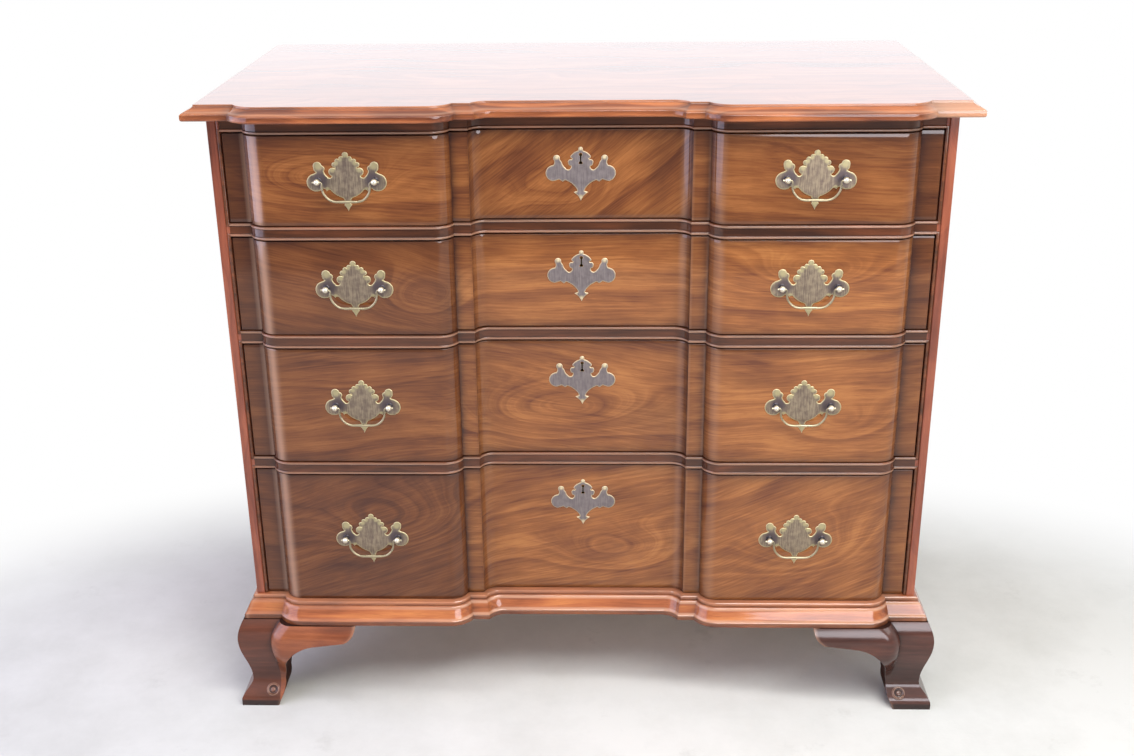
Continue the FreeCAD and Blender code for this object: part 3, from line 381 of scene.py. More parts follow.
def makeBrass(name):
    brass = brasses[name]
    material, add = newMaterial(name)
    place = add("TexCoord", "Object")
    # brush marks a millimetre wide and two centimetres tall, and blotches of a few millimetres
    brushScale = add("Mapping", "Vector", {"Vector": place, "Scale": (900, 900, 55)})
    brush = add("TexNoise", "Fac", [brushScale, 0.0, 1.0, 2.0])
    blotch = add("TexNoise", "Fac", [place, 0.0, 150.0, 3.0, 0.6])
    blotched = add("Math", "Value", [blotch, 0.45], operation="MULTIPLY")
    mixed = add("Math", "Value", [brush, 0.55, blotched], operation="MULTIPLY_ADD")
    color = add("ValToRGB", "Color", [mixed], stops=[(0.4, brass["dark"]), (0.6, brass["dull"])])
    wing, rimHighlight = (add("Attribute", "Fac", attribute_name=key) for key in ("wing", "rimHighlight"))
    paled, paintedHighlight = (add("MapRange", "Result", [rimHighlight, *limits]) for limits in ((0.15, 0.75), (0.75, 1.0)))
    for amount, key in ((wing, "shade"), (paled, "pale"), (paintedHighlight, "edge")):
        color = add("Mix", "Result_Color", {"Factor_Float": amount, "A_Color": color,
                                            "B_Color": linear(brass[key])}, data_type="RGBA")
    rough = add("MapRange", "Result", [blotch, 0.3, 0.7, brass["rough"] * 0.8, brass["rough"] * 1.25])
    bump = add("Bump", "Normal", {"Height": brush, "Strength": 0.12, "Distance": 0.0002})
    surface = add("BsdfPrincipled", "BSDF", {
        "Base Color": color, "Metallic": brass["metal"], "Roughness": rough, "Normal": bump})
    add("OutputMaterial", inputs={"Surface": surface})
    return material


for name in brasses:
    materials[name] = makeBrass(name)
print("brasses made")


# Meshes

def gridFaces(rows, columns, closeRows=False, closeColumns=False):
    # Four-sided faces of a grid of points, numbered row by row.
    i = np.arange(rows if closeRows else rows - 1)[:, None]
    j = np.arange(columns if closeColumns else columns - 1)[None, :]
    nextI = (i + 1) % rows
    nextJ = (j + 1) % columns
    faces = [i * columns + j, i * columns + nextJ, nextI * columns + nextJ, nextI * columns + j]
    return np.stack([np.broadcast_to(f, (i.size, j.size)).ravel() for f in faces], axis=1)


def gridPoints(x, y, z):
    return np.stack(np.broadcast_arrays(x, y, z), axis=-1).reshape(-1, 3)


def cappedFaces(rows, columns):
    # Faces of closed rows, with a flat cap on the first row and on the last one.
    faces = gridFaces(rows, columns, closeColumns=True).tolist()
    return faces + [list(range(columns)), list(range((rows - 1) * columns, rows * columns))]


def closeBehind(x, y, z, backX, backY):
    # Points and faces of a face in rows, closed by a flat back of two more rows and by its two ends.
    rows, columns = x.shape
    points = [gridPoints(x, y, z[:, None])] + [gridPoints(backX[row], backY, z[row]) for row in (-1, 0)]
    faces = gridFaces(rows + 2, columns, closeRows=True).tolist()
    starts = np.arange(rows + 2) * columns
    return np.concatenate(points), faces + [starts.tolist(), (starts + columns - 1).tolist()]


def withBack(values, back=0.0):
    # The same number for the two rows of a flat back.
    return np.concatenate([values, np.full((2, values.shape[1]), back)])


def layered(*layers):
    # What several layers cover together: 1 less the product of what each leaves bare.
    bare = 1
    for layer in layers:
        bare = bare * (1 - layer)
    return 1 - bare


def hill(offset, width, power=2):
    # A rounded hill: exp(-(offset / width) ^ power).
    return np.exp(-(offset / width) ** power)


def flatFloats(numbers):
    return np.ascontiguousarray(numbers, np.float32).ravel()


def newMesh(name, finish):
    mesh = bpy.data.meshes.new(name)
    for material in finish:
        mesh.materials.append(materials[material])
    return mesh


def placePiece(name, mesh, body, replaced):
    piece = showObject(name, mesh)
    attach(piece, body)
    if replaced:
        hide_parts(*replaced)
    return piece


def smoothMesh(mesh, sharp=35):
    mesh.polygons.foreach_set("use_smooth", [True] * len(mesh.polygons))
    mesh.set_sharp_from_angle(angle=math.radians(sharp))


def makePiece(name, points, faces, finish, body, replaced=(), values=None, faceValues=None, uv=None,
              sharp=35, finishOf=None):
    # Puts points and faces into a mesh, closes its seams, turns its faces outwards and sets it on its body.
    mesh = newMesh(name, finish)
    mesh.from_pydata(points.tolist(), [], [list(map(int, face)) for face in faces])
    for domain, marks in (("POINT", values or {}), ("FACE", faceValues or {})):
        for key, numbers in marks.items():
            mesh.attributes.new(key, "FLOAT", domain).data.foreach_set("value", flatFloats(numbers))
    if uv is not None:
        mesh.uv_layers.new(name="veneer").uv.foreach_set("vector", flatFloats(uv))
    if finishOf is not None:
        mesh.polygons.foreach_set("material_index", np.ascontiguousarray(finishOf, np.int32))
    work = bmesh.new()
    work.from_mesh(mesh)
    bmesh.ops.remove_doubles(work, verts=work.verts, dist=1e-6)
    bmesh.ops.dissolve_degenerate(work, edges=work.edges, dist=1e-7)
    bmesh.ops.recalc_face_normals(work, faces=work.faces)
    work.to_mesh(mesh)
    work.free()
    smoothMesh(mesh, sharp)
    return placePiece(name, mesh, body, replaced)


def copyNode(node, name, finish, body):
    # A CAD node's own shape, its doubled points merged, as a piece that stands for it.
    mesh = newMesh(name, finish)
    work = bmesh.new()
    work.from_mesh(nodes[node].data)
    bmesh.ops.remove_doubles(work, verts=work.verts, dist=1e-6)
    work.to_mesh(mesh)
    work.free()
    return placePiece(name, mesh, body, [node])


def carve(piece, cutters):
    # Cuts closed shapes, each a list of points and faces, out of a piece.
    for points, faces in cutters:
        mesh = bpy.data.meshes.new("cutter")
        mesh.from_pydata([tuple(p) for p in points], [], [list(map(int, f)) for f in faces])
        cutter = showObject("cutter", mesh)
        step = piece.modifiers.new("cut", "BOOLEAN")
        step.operation = "DIFFERENCE"
        step.solver = "EXACT"
        step.object = cutter
        bpy.context.view_layer.update()
        result = bpy.data.meshes.new_from_object(piece.evaluated_get(bpy.context.evaluated_depsgraph_get()))
        piece.modifiers.clear()
        before = piece.data
        piece.data = result
        bpy.data.objects.remove(cutter)
        bpy.data.meshes.remove(mesh)
        bpy.data.meshes.remove(before)
    piece.data.name = piece.name
    smoothMesh(piece.data)


def boxCutter(low, high):
    xs, ys, zs = zip(low, high)
    corners = np.array([[x, y, z] for z in zs for y in ys for x in xs])
    faces = [(0, 2, 3, 1), (4, 5, 7, 6), (0, 1, 5, 4), (2, 6, 7, 3), (0, 4, 6, 2), (1, 3, 7, 5)]
    return corners, faces


def rodCutter(centre, radius, near, far, sides=32):
    # A rod along Y.
    turn = np.linspace(0, 2 * math.pi, sides, endpoint=False)
    x = centre[0] + radius * np.cos(turn)
    z = centre[1] + radius * np.sin(turn)
    rings = [gridPoints(x, y, z) for y in (near, far)]
    faces = [[i, (i + 1) % sides, sides + (i + 1) % sides, sides + i] for i in range(sides)]
    faces += [list(range(sides))[::-1], list(range(sides, 2 * sides))]
    return np.concatenate(rings), faces


# Plan of the block front: raised blocks, a sunk middle field and flat strips between them

plan = {
    "plane": -0.22425, "blockOut": 0.020, "recessIn": 0.015, "openingHalf": 0.479, "caseHalf": 0.495,
    "outerStrip": 0.029, "outerCurve": 0.028, "innerValley": 0.172, "innerCurve": 0.027,
    "innerStrip": 0.0235, "recessCurve": 0.0205, "steps": (32, 12, 6, 14, 56, 14, 8),
}
plan["outerValley"] = plan["openingHalf"] - plan["outerStrip"]
plan["blockOuter"] = plan["outerValley"] - plan["outerCurve"]
plan["blockInner"] = plan["innerValley"] + plan["innerCurve"]
plan["arris"] = plan["innerValley"] - plan["innerStrip"]
plan["recessFlat"] = plan["arris"] - plan["recessCurve"]
# the plan's corners from the middle outwards, how far each moves sideways as the stand grows, and how far it
# lies behind the strips
planCorners = (("recessFlat", -0.6, plan["recessIn"]), ("arris", -0.4, 0), ("innerValley", -0.37, 0),
               ("blockInner", 0, -plan["blockOut"]), ("blockOuter", 0, -plan["blockOut"]),
               ("outerValley", 0.37, 0))


def straightRun(start, end, steps, crowd=1):
    # Even steps, or steps that crowd towards the end.
    share = 1 - (1 - np.linspace(0, 1, steps + 1)) ** crowd
    return [a + (b - a) * share for a, b in zip(start, end)]


def curvedRun(flat, foot, steps):
    # An arc level with X at its flat end: x goes with the sine of the turn and y with one less its cosine.
    across, rise = foot[0] - flat[0], foot[1] - flat[1]
    radius = (across ** 2 + rise ** 2) / (2 * np.abs(rise))
    turn = 2 * np.arctan2(np.abs(rise), np.abs(across)) * np.linspace(0, 1, steps + 1)
    return [flat[0] + np.sign(across) * radius * np.sin(turn),
            flat[1] + np.sign(rise) * radius * (1 - np.cos(turn))]


def frontPath(stand, half):
    # The front's plan for each stand, from left to right: x and y, with a row for each stand.
    stand = np.asarray(stand, float).reshape(-1, 1)
    half = np.broadcast_to(np.asarray(half, float).reshape(-1, 1), stand.shape)
    strip = plan["plane"] - stand
    recess, arris, valley, inner, outer, shoulder = (
        (plan[key] + drift * stand, strip + behind) for key, drift, behind in planCorners)
    steps = plan["steps"]
    runs = [straightRun((0 * stand, recess[1]), recess, steps[0]),
            curvedRun(recess, arris, steps[1]),
            straightRun(arris, valley, steps[2]),
            [part[:, ::-1] for part in curvedRun(inner, valley, steps[3])],
            straightRun(inner, outer, steps[4]),
            curvedRun(outer, shoulder, steps[5]),
            straightRun(shoulder, (half, strip), steps[6], 2)]
    x, y = (np.concatenate([run[axis][:, 1:] for run in runs], axis=1) for axis in (0, 1))
    return (np.concatenate([-x[:, ::-1], 0 * stand, x], axis=1),
            np.concatenate([y[:, ::-1], recess[1], y], axis=1))


def planMarks():
    # Along the front: developed length from the middle, leaf number of each column's face, and glaze with
    # painted shade.
    x, y = frontPath([0.0], plan["openingHalf"])
    length = np.concatenate([[0], np.cumsum(np.hypot(np.diff(x[0]), np.diff(y[0])))])
    length -= length[len(length) // 2]
    ends = np.cumsum(plan["steps"])
    arris, valley, shoulder = length[ends[-1] + ends][[1, 2, 5]]
    away = np.abs(length)
    # glaze and painted shade in the valleys, at the shoulders and round the sunk field, thicker where the
    # curves turn to the left
    rightHalf = length > 0
    glazeAndShade = layered(
        0.86 * np.exp(-np.abs(away - valley) / np.where(rightHalf, 0.010, 0.006)),
        0.84 * np.exp(-np.abs(away - shoulder) / 0.009),
        np.where(rightHalf, 0.92, 0.5) * np.exp(-np.abs(arris - away) / 0.012) * (away < arris),
        0.25 * np.exp(-np.abs(away - arris) / 0.003),
        0.22 * np.exp(-np.abs(away - shoulder) / 0.03),
        0.2 * np.exp(-np.abs(arris - away) / 0.03))
    leafOfStep = np.repeat([0, 0, 1, 2, 2, 2, 3], plan["steps"])
    leaf = np.concatenate([-leafOfStep[::-1], leafOfStep]).astype(float)
    return length, leaf, glazeAndShade


developed, leafs, acrossGlazeAndShade = planMarks()


def ease(start, end, share):
    return start + (end - start) * (1 - np.cos(math.pi * np.asarray(share))) / 2


# Rails with their beads

rail = {"setback": 0.0026, "bead": 0.0044, "beadStand": 0.0016, "quirk": 0.0012,
        "bolt": (0.0102, 0.0319, 0.0381), "mortise": 0.007}
# across a bead, half a circle
beadTurn = np.linspace(-math.pi / 2, math.pi / 2, 11)


def beadRows(floor):
    stand = rail["beadStand"] * np.cos(beadTurn) - rail["setback"]
    return list(zip(floor + rail["bead"] * (1 + np.sin(beadTurn)) / 2, stand))


def addRails():
    setback, bead, quirk = (rail[key] for key in ("setback", "bead", "quirk"))
    halfWidth, near, far = rail["bolt"]
    for node in ("drawer_rail_1", "drawer_rail_2", "drawer_rail_3", "top_rail"):
        low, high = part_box(node)
        profile = beadRows(low.z) + [(low.z + bead + quirk, -setback)]
        if node == "top_rail":
            profile.append((high.z, -setback))
        else:
            profile += [(high.z - bead - quirk, -setback)] + beadRows(high.z - bead)
        # the profile is carried along the plan
        z, stand = np.array(profile).T
        x, y = frontPath(stand, plan["openingHalf"])
        points, faces = closeBehind(x, y, z, x, high.y)
        # glaze and painted shade lie over the hollow and beside the beads and thin over their crests, which
        # carry a painted highlight
        beside = np.minimum(np.abs(z - low.z - bead), np.abs(z - high.z + bead))
        crest = np.clip((stand + setback) / rail["beadStand"], 0, 1)
        rowGlazeAndShade = (0.4 + 0.4 * hill(beside, 0.0006)) * (1 - crest ** 0.5)
        glazeAndShade = layered(acrossGlazeAndShade * 0.6, rowGlazeAndShade[:, None])
        wearAndHighlight = np.broadcast_to((0.42 * crest ** 8)[:, None], x.shape)
        piece = makePiece(node + "_moulded", points, faces, ["railMahogany"], "case", [node],
                          values={"glazeAndShade": withBack(glazeAndShade), "wearAndHighlight": withBack(wearAndHighlight)})
        carve(piece, [boxCutter((-halfWidth, plan["plane"] + near, low.z - 0.001),
                                (halfWidth, plan["plane"] + far, low.z + rail["mortise"]))])


addRails()
print("rails made")


# Case sides: the CAD boards with a rebate along their front inner corners, and a bead round each opening

sideBead = {"width": 0.0044, "sink": 0.0012, "start": 0.0005, "past": 0.001, "below": 0.0002}


def addSideBeads():
    rails = ["top_rail", "drawer_rail_1", "drawer_rail_2", "drawer_rail_3"]
    ceilings = [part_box(node)[0].z for node in rails]
    floors = [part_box(node)[1].z for node in rails[1:] + ["base_moulding_front"]]
    half, width, past = plan["openingHalf"], sideBead["width"], sideBead["past"]
    out = np.concatenate([width * (1 + np.sin(beadTurn)) / 2, [width, 0]])
    deep = np.concatenate([rail["setback"] - rail["beadStand"] * np.cos(beadTurn),
                           [rail["setback"] + sideBead["sink"]] * 2])
    # glaze with painted shade along the bead's edges and on the sunk strip beside it
    edge = np.concatenate([0.6 * np.abs(np.sin(beadTurn)) ** 6, [0.6, 0.6]])
    inner = np.full(len(out), half - sideBead["start"])
    for hand, sign in handSigns.items():
        node = f"case_side_{hand}"
        board = copyNode(node, node + "_rebated", ["caseMahogany"], "case")
        xs = sorted((sign * (half - past), sign * (half + width)))
        carve(board, [boxCutter((xs[0], plan["plane"] - past, floors[-1] - sideBead["below"]),
                                (xs[1], plan["plane"] + rail["setback"], ceilings[0] + width))])
        for number, low, high in zip(drawerNumbers, floors, ceilings):
            # each row is a line along the opening's edge, moved outwards by its share of the bead's width
            x = [inner, half + out, half + out, inner]
            z = [high + out, high + out, low - out, low - out]
            if number == 4:
                x.pop()
                z[2:] = [np.full(len(out), low)]
            points = gridPoints(sign * np.array(x), plan["plane"] + deep, np.array(z))
            makePiece(f"drawer_{number}_bead_{hand}", points, cappedFaces(len(x), len(out)), ["railMahogany"],
                      "case", values={"glazeAndShade": np.tile(edge, len(x))})


addSideBeads()
print("case sides made")


# Drawer fronts

drawerFront = {
    "ease": 0.0009, "strip": -0.0035, "half": 0.477, "back": 0.0405, "lock": (0.03, 0.0295, 0.048),
    "keyEye": 0.0028, "keySlot": 0.0019, "keyTail": 0.0134, "keyDrop": 0.0338, "field": 0.0185,
    # paintedSheen: strength of the painted reflection on the curves that turn left, on the left block's outer
    # curve and on the others
    "paintedSheen": (0.42, 0.1), "clear": 0.001, "rowHeight": 0.005, "sideStrip": 0.03,
    # ovals: for each drawer, where growth bands close round a point: place along the front and above the
    # middle, half width, half height and number of bands
    "ovals": {
        1: [(-0.365, 0.004, 0.075, 0.026, 7), (-0.02, -0.02, 0.05, 0.03, 4)],
        2: [(-0.235, -0.012, 0.05, 0.03, 5), (0.33, 0.02, 0.09, 0.03, 3)],
        3: [(-0.03, -0.02, 0.12, 0.042, 7), (0.38, -0.03, 0.07, 0.04, 3)],
        4: [(-0.30, 0.03, 0.10, 0.05, 5), (0.05, -0.04, 0.09, 0.04, 5), (0.35, -0.02, 0.09, 0.05, 4)],
    },
    # shades: darker clouds in the veneer, in the same order, with their strength
    "shades": {
        1: [(-0.345, -0.030, 0.035, 0.013, 0.45), (0.105, 0.0, 0.016, 0.05, 0.35),
            (0.40, 0.03, 0.06, 0.01, 0.25)],
        2: [(-0.20, -0.02, 0.02, 0.03, 0.3), (0.0, 0.006, 0.12, 0.006, 0.25),
            (0.30, 0.03, 0.08, 0.012, 0.25)],
        3: [(0.10, -0.03, 0.06, 0.03, 0.25), (0.25, 0.04, 0.05, 0.02, 0.2)],
        4: [(-0.33, -0.05, 0.07, 0.03, 0.25), (0.02, 0.05, 0.12, 0.02, 0.2)],
    },
    # leaves: the leaves of veneer from the left strip to the right one, each with the turn of its grain in
    # degrees, the strength of its figure and how light it is. How light it is is partly the veneer's own tone
    # and partly painted shade, which makes the outer strips darker and, on the lower three drawers, the left
    # block darker than the right.
    "leaves": {
        1: [(0, 0.3, 0.33), (4, 0.5, 0.75), (0, 0.2, 0.95), (-38, 0.6, 0.77), (0, 0.2, 0.90), (3, 0.4, 0.73),
            (0, 0.3, 0.47)],
        2: [(0, 0.3, 0.40), (14, 0.4, 0.51), (0, 0.2, 1.0), (0, 0.15, 0.94), (0, 0.2, 1.06), (2, 0.3, 1.12),
            (0, 0.3, 0.62)],
        3: [(0, 0.3, 0.44), (-5, 0.3, 0.62), (0, 0.2, 1.0), (8, 0.3, 0.90), (0, 0.2, 1.08), (-3, 0.3, 1.0),
            (0, 0.3, 0.7)],
        4: [(0, 0.3, 0.45), (-20, 0.4, 0.46), (0, 0.2, 0.98), (-12, 0.4, 0.95), (0, 0.2, 1.0),
            (-22, 0.4, 0.92), (0, 0.3, 0.76)],
    },
}


def addDrawerFronts():
    e, strip, clear = (drawerFront[key] for key in ("ease", "strip", "clear"))
    behind, field = (plan["plane"] + drawerFront[key] for key in ("back", "field"))
    for number in drawerNumbers:
        node = f"drawer_{number}_front"
        low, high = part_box(node)
        turn = np.linspace(0, math.pi / 2, 4)
        rounded = [(low.z + e * (1 - math.cos(a)), strip - e * (1 - math.sin(a))) for a in turn]
        steps = max(12, int((high.z - low.z) / drawerFront["rowHeight"]))
        middle = np.linspace(low.z + e, high.z - e, steps)[1:-1]
        top = [(low.z + high.z - z, stand) for z, stand in reversed(rounded)]
        z, stand = np.array(rounded + [(z, strip) for z in middle] + top).T
        x, y = frontPath(stand, drawerFront["half"])
        rows, columns = x.shape[0] + 2, x.shape[1]
        points, faces = closeBehind(x, y, z, x, behind)
        # glaze with painted shade along the top, under the rail, and along the bottom
        upGlazeAndShade = layered(0.6 * np.exp(-(z - low.z) / 0.008), 0.68 * np.exp(-(high.z - z) / 0.010))
        glazeAndShade = withBack(layered(acrossGlazeAndShade, upGlazeAndShade[:, None]), 0.2)
        # each face's leaf of veneer, and its place along the front and up
        turns, figures, tonesAndShades = np.array(drawerFront["leaves"][number]).T
        leafOf = (leafs + 3).astype(int)
        faceValues = {"leaf": leafs * 1.7 + number * 23.1, "tilt": np.radians(turns)[leafOf],
                      "figure": figures[leafOf], "toneAndShade": tonesAndShades[leafOf]}
        for key, row in faceValues.items():
            faceValues[key] = np.concatenate([np.tile(row, rows), row[[0, -1]]])
        past = drawerFront["sideStrip"]
        height = np.concatenate([z, [z[-1] + past, z[0] - past]]) - (low.z + high.z) / 2
        column = np.tile(np.arange(columns - 1), rows)
        row = np.repeat(np.arange(rows), columns - 1)
        above = (row + 1) % rows
        u = developed[np.stack([column, column + 1, column + 1, column], axis=1)]
        v = height[np.stack([row, row, above, above], axis=1)]
        endUv = np.stack([height * 0, height], axis=1)
        uv = np.concatenate([np.stack([u, v], axis=2).reshape(-1, 2), endUv, endUv])

        def blob(along, up, width, tall):
            return np.exp(-(((developed - along) / width) ** 2 + ((height[:, None] - up) / tall) ** 2))

        swell = sum(bands * blob(*oval) for *oval, bands in drawerFront["ovals"][number])
        glazeAndShade = layered(glazeAndShade, *(amount * blob(*shade) for *shade, amount in drawerFront["shades"][number]))
        # painted reflection: the curves that turn to the left are painted pale, most on the left block's
        # outer curve
        leftward = -np.gradient(y[0]) / np.hypot(np.gradient(x[0]), np.gradient(y[0]))
        strength = np.where(x[0] < -plan["blockOuter"], *drawerFront["paintedSheen"])
        paintedSheen = np.tile(strength * hill(leftward - 0.42, 0.2), (rows, 1))
        values = {"glazeAndShade": glazeAndShade, "swell": swell, "wearAndHighlight": paintedSheen}
        piece = makePiece(node + "_veneered", points, faces, ["frontVeneer"], f"drawer_{number}",
                          [node], values=values, faceValues=faceValues, uv=uv)
        # the keyhole's eye and slot, and the mortise of the lock
        keyZ = high.z - drawerFront["keyDrop"]
        half, near, tall = drawerFront["lock"]
        near += plan["plane"]
        slot, tail = drawerFront["keySlot"], drawerFront["keyTail"]
        start, end = field - 2 * clear, near + clear
        carve(piece, [rodCutter((0, keyZ), drawerFront["keyEye"], start, end),
                      boxCutter((-slot, start, keyZ - tail), (slot, end, keyZ)),
                      boxCutter((-half, near, high.z - tall), (half, behind + clear, high.z + clear))])


addDrawerFronts()
print("drawer fronts made")


# Top board with its moulded edge

topBoard = {"overhang": 0.027, "mould": 0.015, "fillet": 0.0015, "nose": 0.008, "undercut": 0.004,
            "noseStart": 0.0032, "arris": 0.0004, "sideSteps": 40, "reflectionFrom": 0.435, "reflectionOver": 0.03}


def loopRows(stand, backY):
    # Plan loops of a board that is moulded along its front and sides: x and y for each stand.
    steps = topBoard["sideSteps"]
    x, y = frontPath(stand, plan["caseHalf"] + np.asarray(stand))
    share = np.linspace(0, 1, steps + 1)[1:]
    rightX = np.repeat(x[:, -1:], steps, axis=1)
    rightY = y[:, -1:] + (backY - y[:, -1:]) * share
    backX = x[:, -1:] * (1 - 2 * share)
    leftY = backY + (y[:, :1] - backY) * share[:-1]
    return (np.concatenate([x, rightX, backX, -rightX[:, :-1]], axis=1),
            np.concatenate([y, rightY, 0 * backX + backY, leftY], axis=1))


def addTop():
    low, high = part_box("top_board")
    overhang, start, under, arris = (topBoard[key] for key in ("overhang", "noseStart", "undercut", "arris"))
    turn = np.linspace(0, math.pi / 2, 7)
    flat = overhang - topBoard["mould"]
    profile = [(low.z + start * (1 - math.cos(a)), overhang - under * (1 - math.sin(a))) for a in turn]
    step = high.z - topBoard["fillet"]
    nose = low.z + topBoard["nose"]
    share = np.linspace(0, 1, 25)
    profile += list(zip(nose + (step - nose) * share, ease(overhang, flat, share)))
    profile += [(high.z - arris, flat), (high.z, flat - arris)]
    z, stand = np.array(profile).T
    x, y = loopRows(stand, high.y)
    rows, columns = x.shape
    # the front edge shows long grain, and so do the ends, where the moulding is planted on
    front, steps = len(acrossGlazeAndShade), topBoard["sideSteps"]
    sideOf = np.zeros(columns, int)
    sideOf[front - 1:front + steps - 1] = 2
    sideOf[front + 2 * steps - 1:] = 2
    finishOf = np.concatenate([np.tile(sideOf, rows - 1), [0, 1]])
    # glaze and painted shade under the fillet and along the nose, painted highlights as pale lines above and
    # between them
    along = np.concatenate([acrossGlazeAndShade * 0.6, np.zeros(columns - front)])
    line = 0.55 * hill(z - step + 0.0012, 0.0008) + 0.4 * hill(z - nose, 0.0012)
    pale = 0.4 * hill(z - step - 0.0008, 0.0007) + 0.3 * hill(z - nose - 0.0035, 0.001)
    # painted reflection: the front edge is painted pale towards its right end
    toRight = np.clip((x - topBoard["reflectionFrom"]) / topBoard["reflectionOver"], 0, 1)
    paintedReflection = 0.5 * toRight * (y < plan["plane"] + 0.01)
    values = {"glazeAndShade": layered(along, line[:, None]), "wearAndHighlight": layered(pale[:, None], paintedReflection)}
    for marks in values.values():
        marks[-1] = 0
    makePiece("top_board_moulded", gridPoints(x, y, z[:, None]), cappedFaces(rows, columns),
              ["edgeMahogany", "topVeneer", "endMahogany"], "case", ["top_board"],
              values=values, finishOf=finishOf)


addTop()
print("top made")


# Base moulding

base = {"stand": 0.018, "fillet": 0.007, "neck": 0.0065, "lip": 0.0055, "lipStand": 0.005, "lipEase": 0.001,
        "groove": 0.0012, "wave": 0.6, "arris": 0.0005, "sideSteps": 60, "highlightFrom": -0.42, "highlightOver": 0.25}


def baseProfile(low, high):
    stand, groove, lip, arris, wave = (base[key] for key in ("stand", "groove", "lipStand", "arris", "wave"))
    lipFloor = high - base["lip"]
    neckTop = lipFloor - groove
    share = np.linspace(0, 1, 33)
    start = low + base["fillet"]
    # the ogee lies between a half wave and a straight slope
    heights = wave * ease(start, neckTop, share) + (1 - wave) * (start + (neckTop - start) * share)
    profile = [(low, stand - arris), (low + arris, stand)]
    profile += list(zip(heights, stand + (base["neck"] - stand) * share))
    profile += [(neckTop + groove / 2, lip - groove), (lipFloor, lip), (high - base["lipEase"], lip),
                (high, lip - base["lipEase"])]
    return np.array(profile).T


def addBaseMoulding():
    low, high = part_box("base_moulding_front")
    z, stand = baseProfile(low.z, high.z)
    reach = (plan["caseHalf"] + stand)[:, None]
    x, y = frontPath(stand, reach)
    # the flat back steps forward at the case sides: the last columns lie on the case's front plane
    away, inner, outer = np.abs(x[0]), plan["openingHalf"], plan["caseHalf"]
    backY = np.where(away < inner, high.y, plan["plane"])
    backX = np.where(away < inner, x[0], np.sign(x[0]) * np.clip(away, inner, outer))
    points, faces = closeBehind(x, y, z, [backX, backX], backY)
    # glaze with painted shade on the fillet and in the groove under the lip, and glaze along the mitres,
    # which show pale beside it
    inGroove = 0.55 * hill(z - high.z + base["lip"], 0.0012)
    rowGlazeAndShade = np.where(z < low.z + base["fillet"] + base["arris"], 0.6, inGroove)
    mitre = reach - np.abs(x)
    glazeAndShade = layered(acrossGlazeAndShade * 0.55, rowGlazeAndShade[:, None], 0.6 * np.exp(-mitre / 0.0012))
    # painted highlights: the ogee is painted pale where it turns up to the groove and out to the fillet,
    # fading to the left
    turns = [high.z - base["lip"] - base["groove"] - 0.0022, low.z + base["fillet"] + 0.0022]
    paintedHighlight = sum(0.5 * hill(z - turn, 0.0019, 4) for turn in turns)
    paintedHighlight = paintedHighlight[:, None] * np.clip((x - base["highlightFrom"]) / base["highlightOver"], 0.25, 1)
    # a painted highlight along the top of the lip
    lipHighlight = 0.25 * (z > high.z - 2.2 * base["lipEase"])[:, None]
    wearAndHighlight = 0.3 * hill(mitre - 0.0045, 0.002) + lipHighlight + paintedHighlight
    makePiece("base_moulding_front_moulded", points, faces, ["mouldedMahogany"], "case",
              ["base_moulding_front"], values={"glazeAndShade": withBack(glazeAndShade), "wearAndHighlight": withBack(wearAndHighlight)})
    steps = base["sideSteps"]
    share = np.linspace(0, 1, steps)
    for hand, sign in handSigns.items():
        node = f"base_moulding_{hand}"
        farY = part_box(node)[1].y
        start = (plan["plane"] - stand)[:, None]
        sideX = sign * np.broadcast_to(reach, (len(z), steps))
        points, faces = closeBehind(sideX, start + (farY - start) * share, z, [sign * plan["caseHalf"]] * 2,
                                    plan["plane"] + (farY - plan["plane"]) * share)
        glazeAndShade = np.repeat(np.concatenate([rowGlazeAndShade, [0, 0]]), steps)
        makePiece(node + "_moulded", points, faces, ["sideMoulding"], "case", [node],
                  values={"glazeAndShade": glazeAndShade})


addBaseMoulding()
print("base moulding made")


# Ogee bracket feet

# Sizes in metres. outs: how far the leg stands out at its toe, ankle, knee and top; ridges: where the wing
# leaves the leg at the same heights; edge: the inner edge of the bracket as lines and three-point arcs.
foot = {
    "heights": (0.009, 0.040, 0.115, 0.147), "outs": (0.0325, 0.016, 0.0295, 0.020),
    "ridges": (0.0265, 0.0265, 0.0205, 0.035), "ridgeWidth": 0.022, "inner": 0.024,
    "wingStart": 0.0005, "wingFull": 0.100, "spacing": 0.0022, "chamfer": 0.0008,
    "edge": [(0.024, 0.0), [(0.027, 0.009)], [(0.033, 0.022), (0.0345, 0.040)], [(0.041, 0.074)],
             [(0.053, 0.096), (0.088, 0.116)], [(0.136, 0.122)], [(0.1475, 0.131), (0.1525, 0.147)]],
    # the left wing's paler wood is painted light, and the right foot's darker wood painted shade
    "finish": {"left": ("carvedMahogany", "litWingMahogany"), "right": ("shadedFootMahogany", "shadedFootMahogany")},
    # faces along the side, the leg's front, the curve to the wing, the wing and each hidden face
    "sideSteps": 36, "legSteps": 30, "curveSteps": 16, "wingSteps": 20, "backSteps": 12,
}
scroll = {"place": 0.0155, "height": 0.024, "radius": 0.0105, "rise": 0.0017, "boss": 0.0040, "ring": 0.0070,
          "grow": 0.0020, "half": 0.0011, "tail": -2.3, "back": (0, 0.008, -0.006)}


def threePointArc(start, middle, end, steps):
    # The circle through three points, from the first to the last, without the first.
    a, b, c = (complex(*p) for p in (start, middle, end))
    w = (c - a) / (b - a)
    centre = a + (b - a) * (w - abs(w) ** 2) / (2j * w.imag)
    first, last = a - centre, c - centre
    turn = np.angle(last / first)
    passed = np.angle((b - centre) / first)
    if not (0 < passed / turn < 1):
        turn -= math.copysign(2 * math.pi, turn)
    points = centre + first * np.exp(1j * turn * np.linspace(0, 1, steps + 1)[1:])
    return np.stack([points.real, points.imag], axis=1)


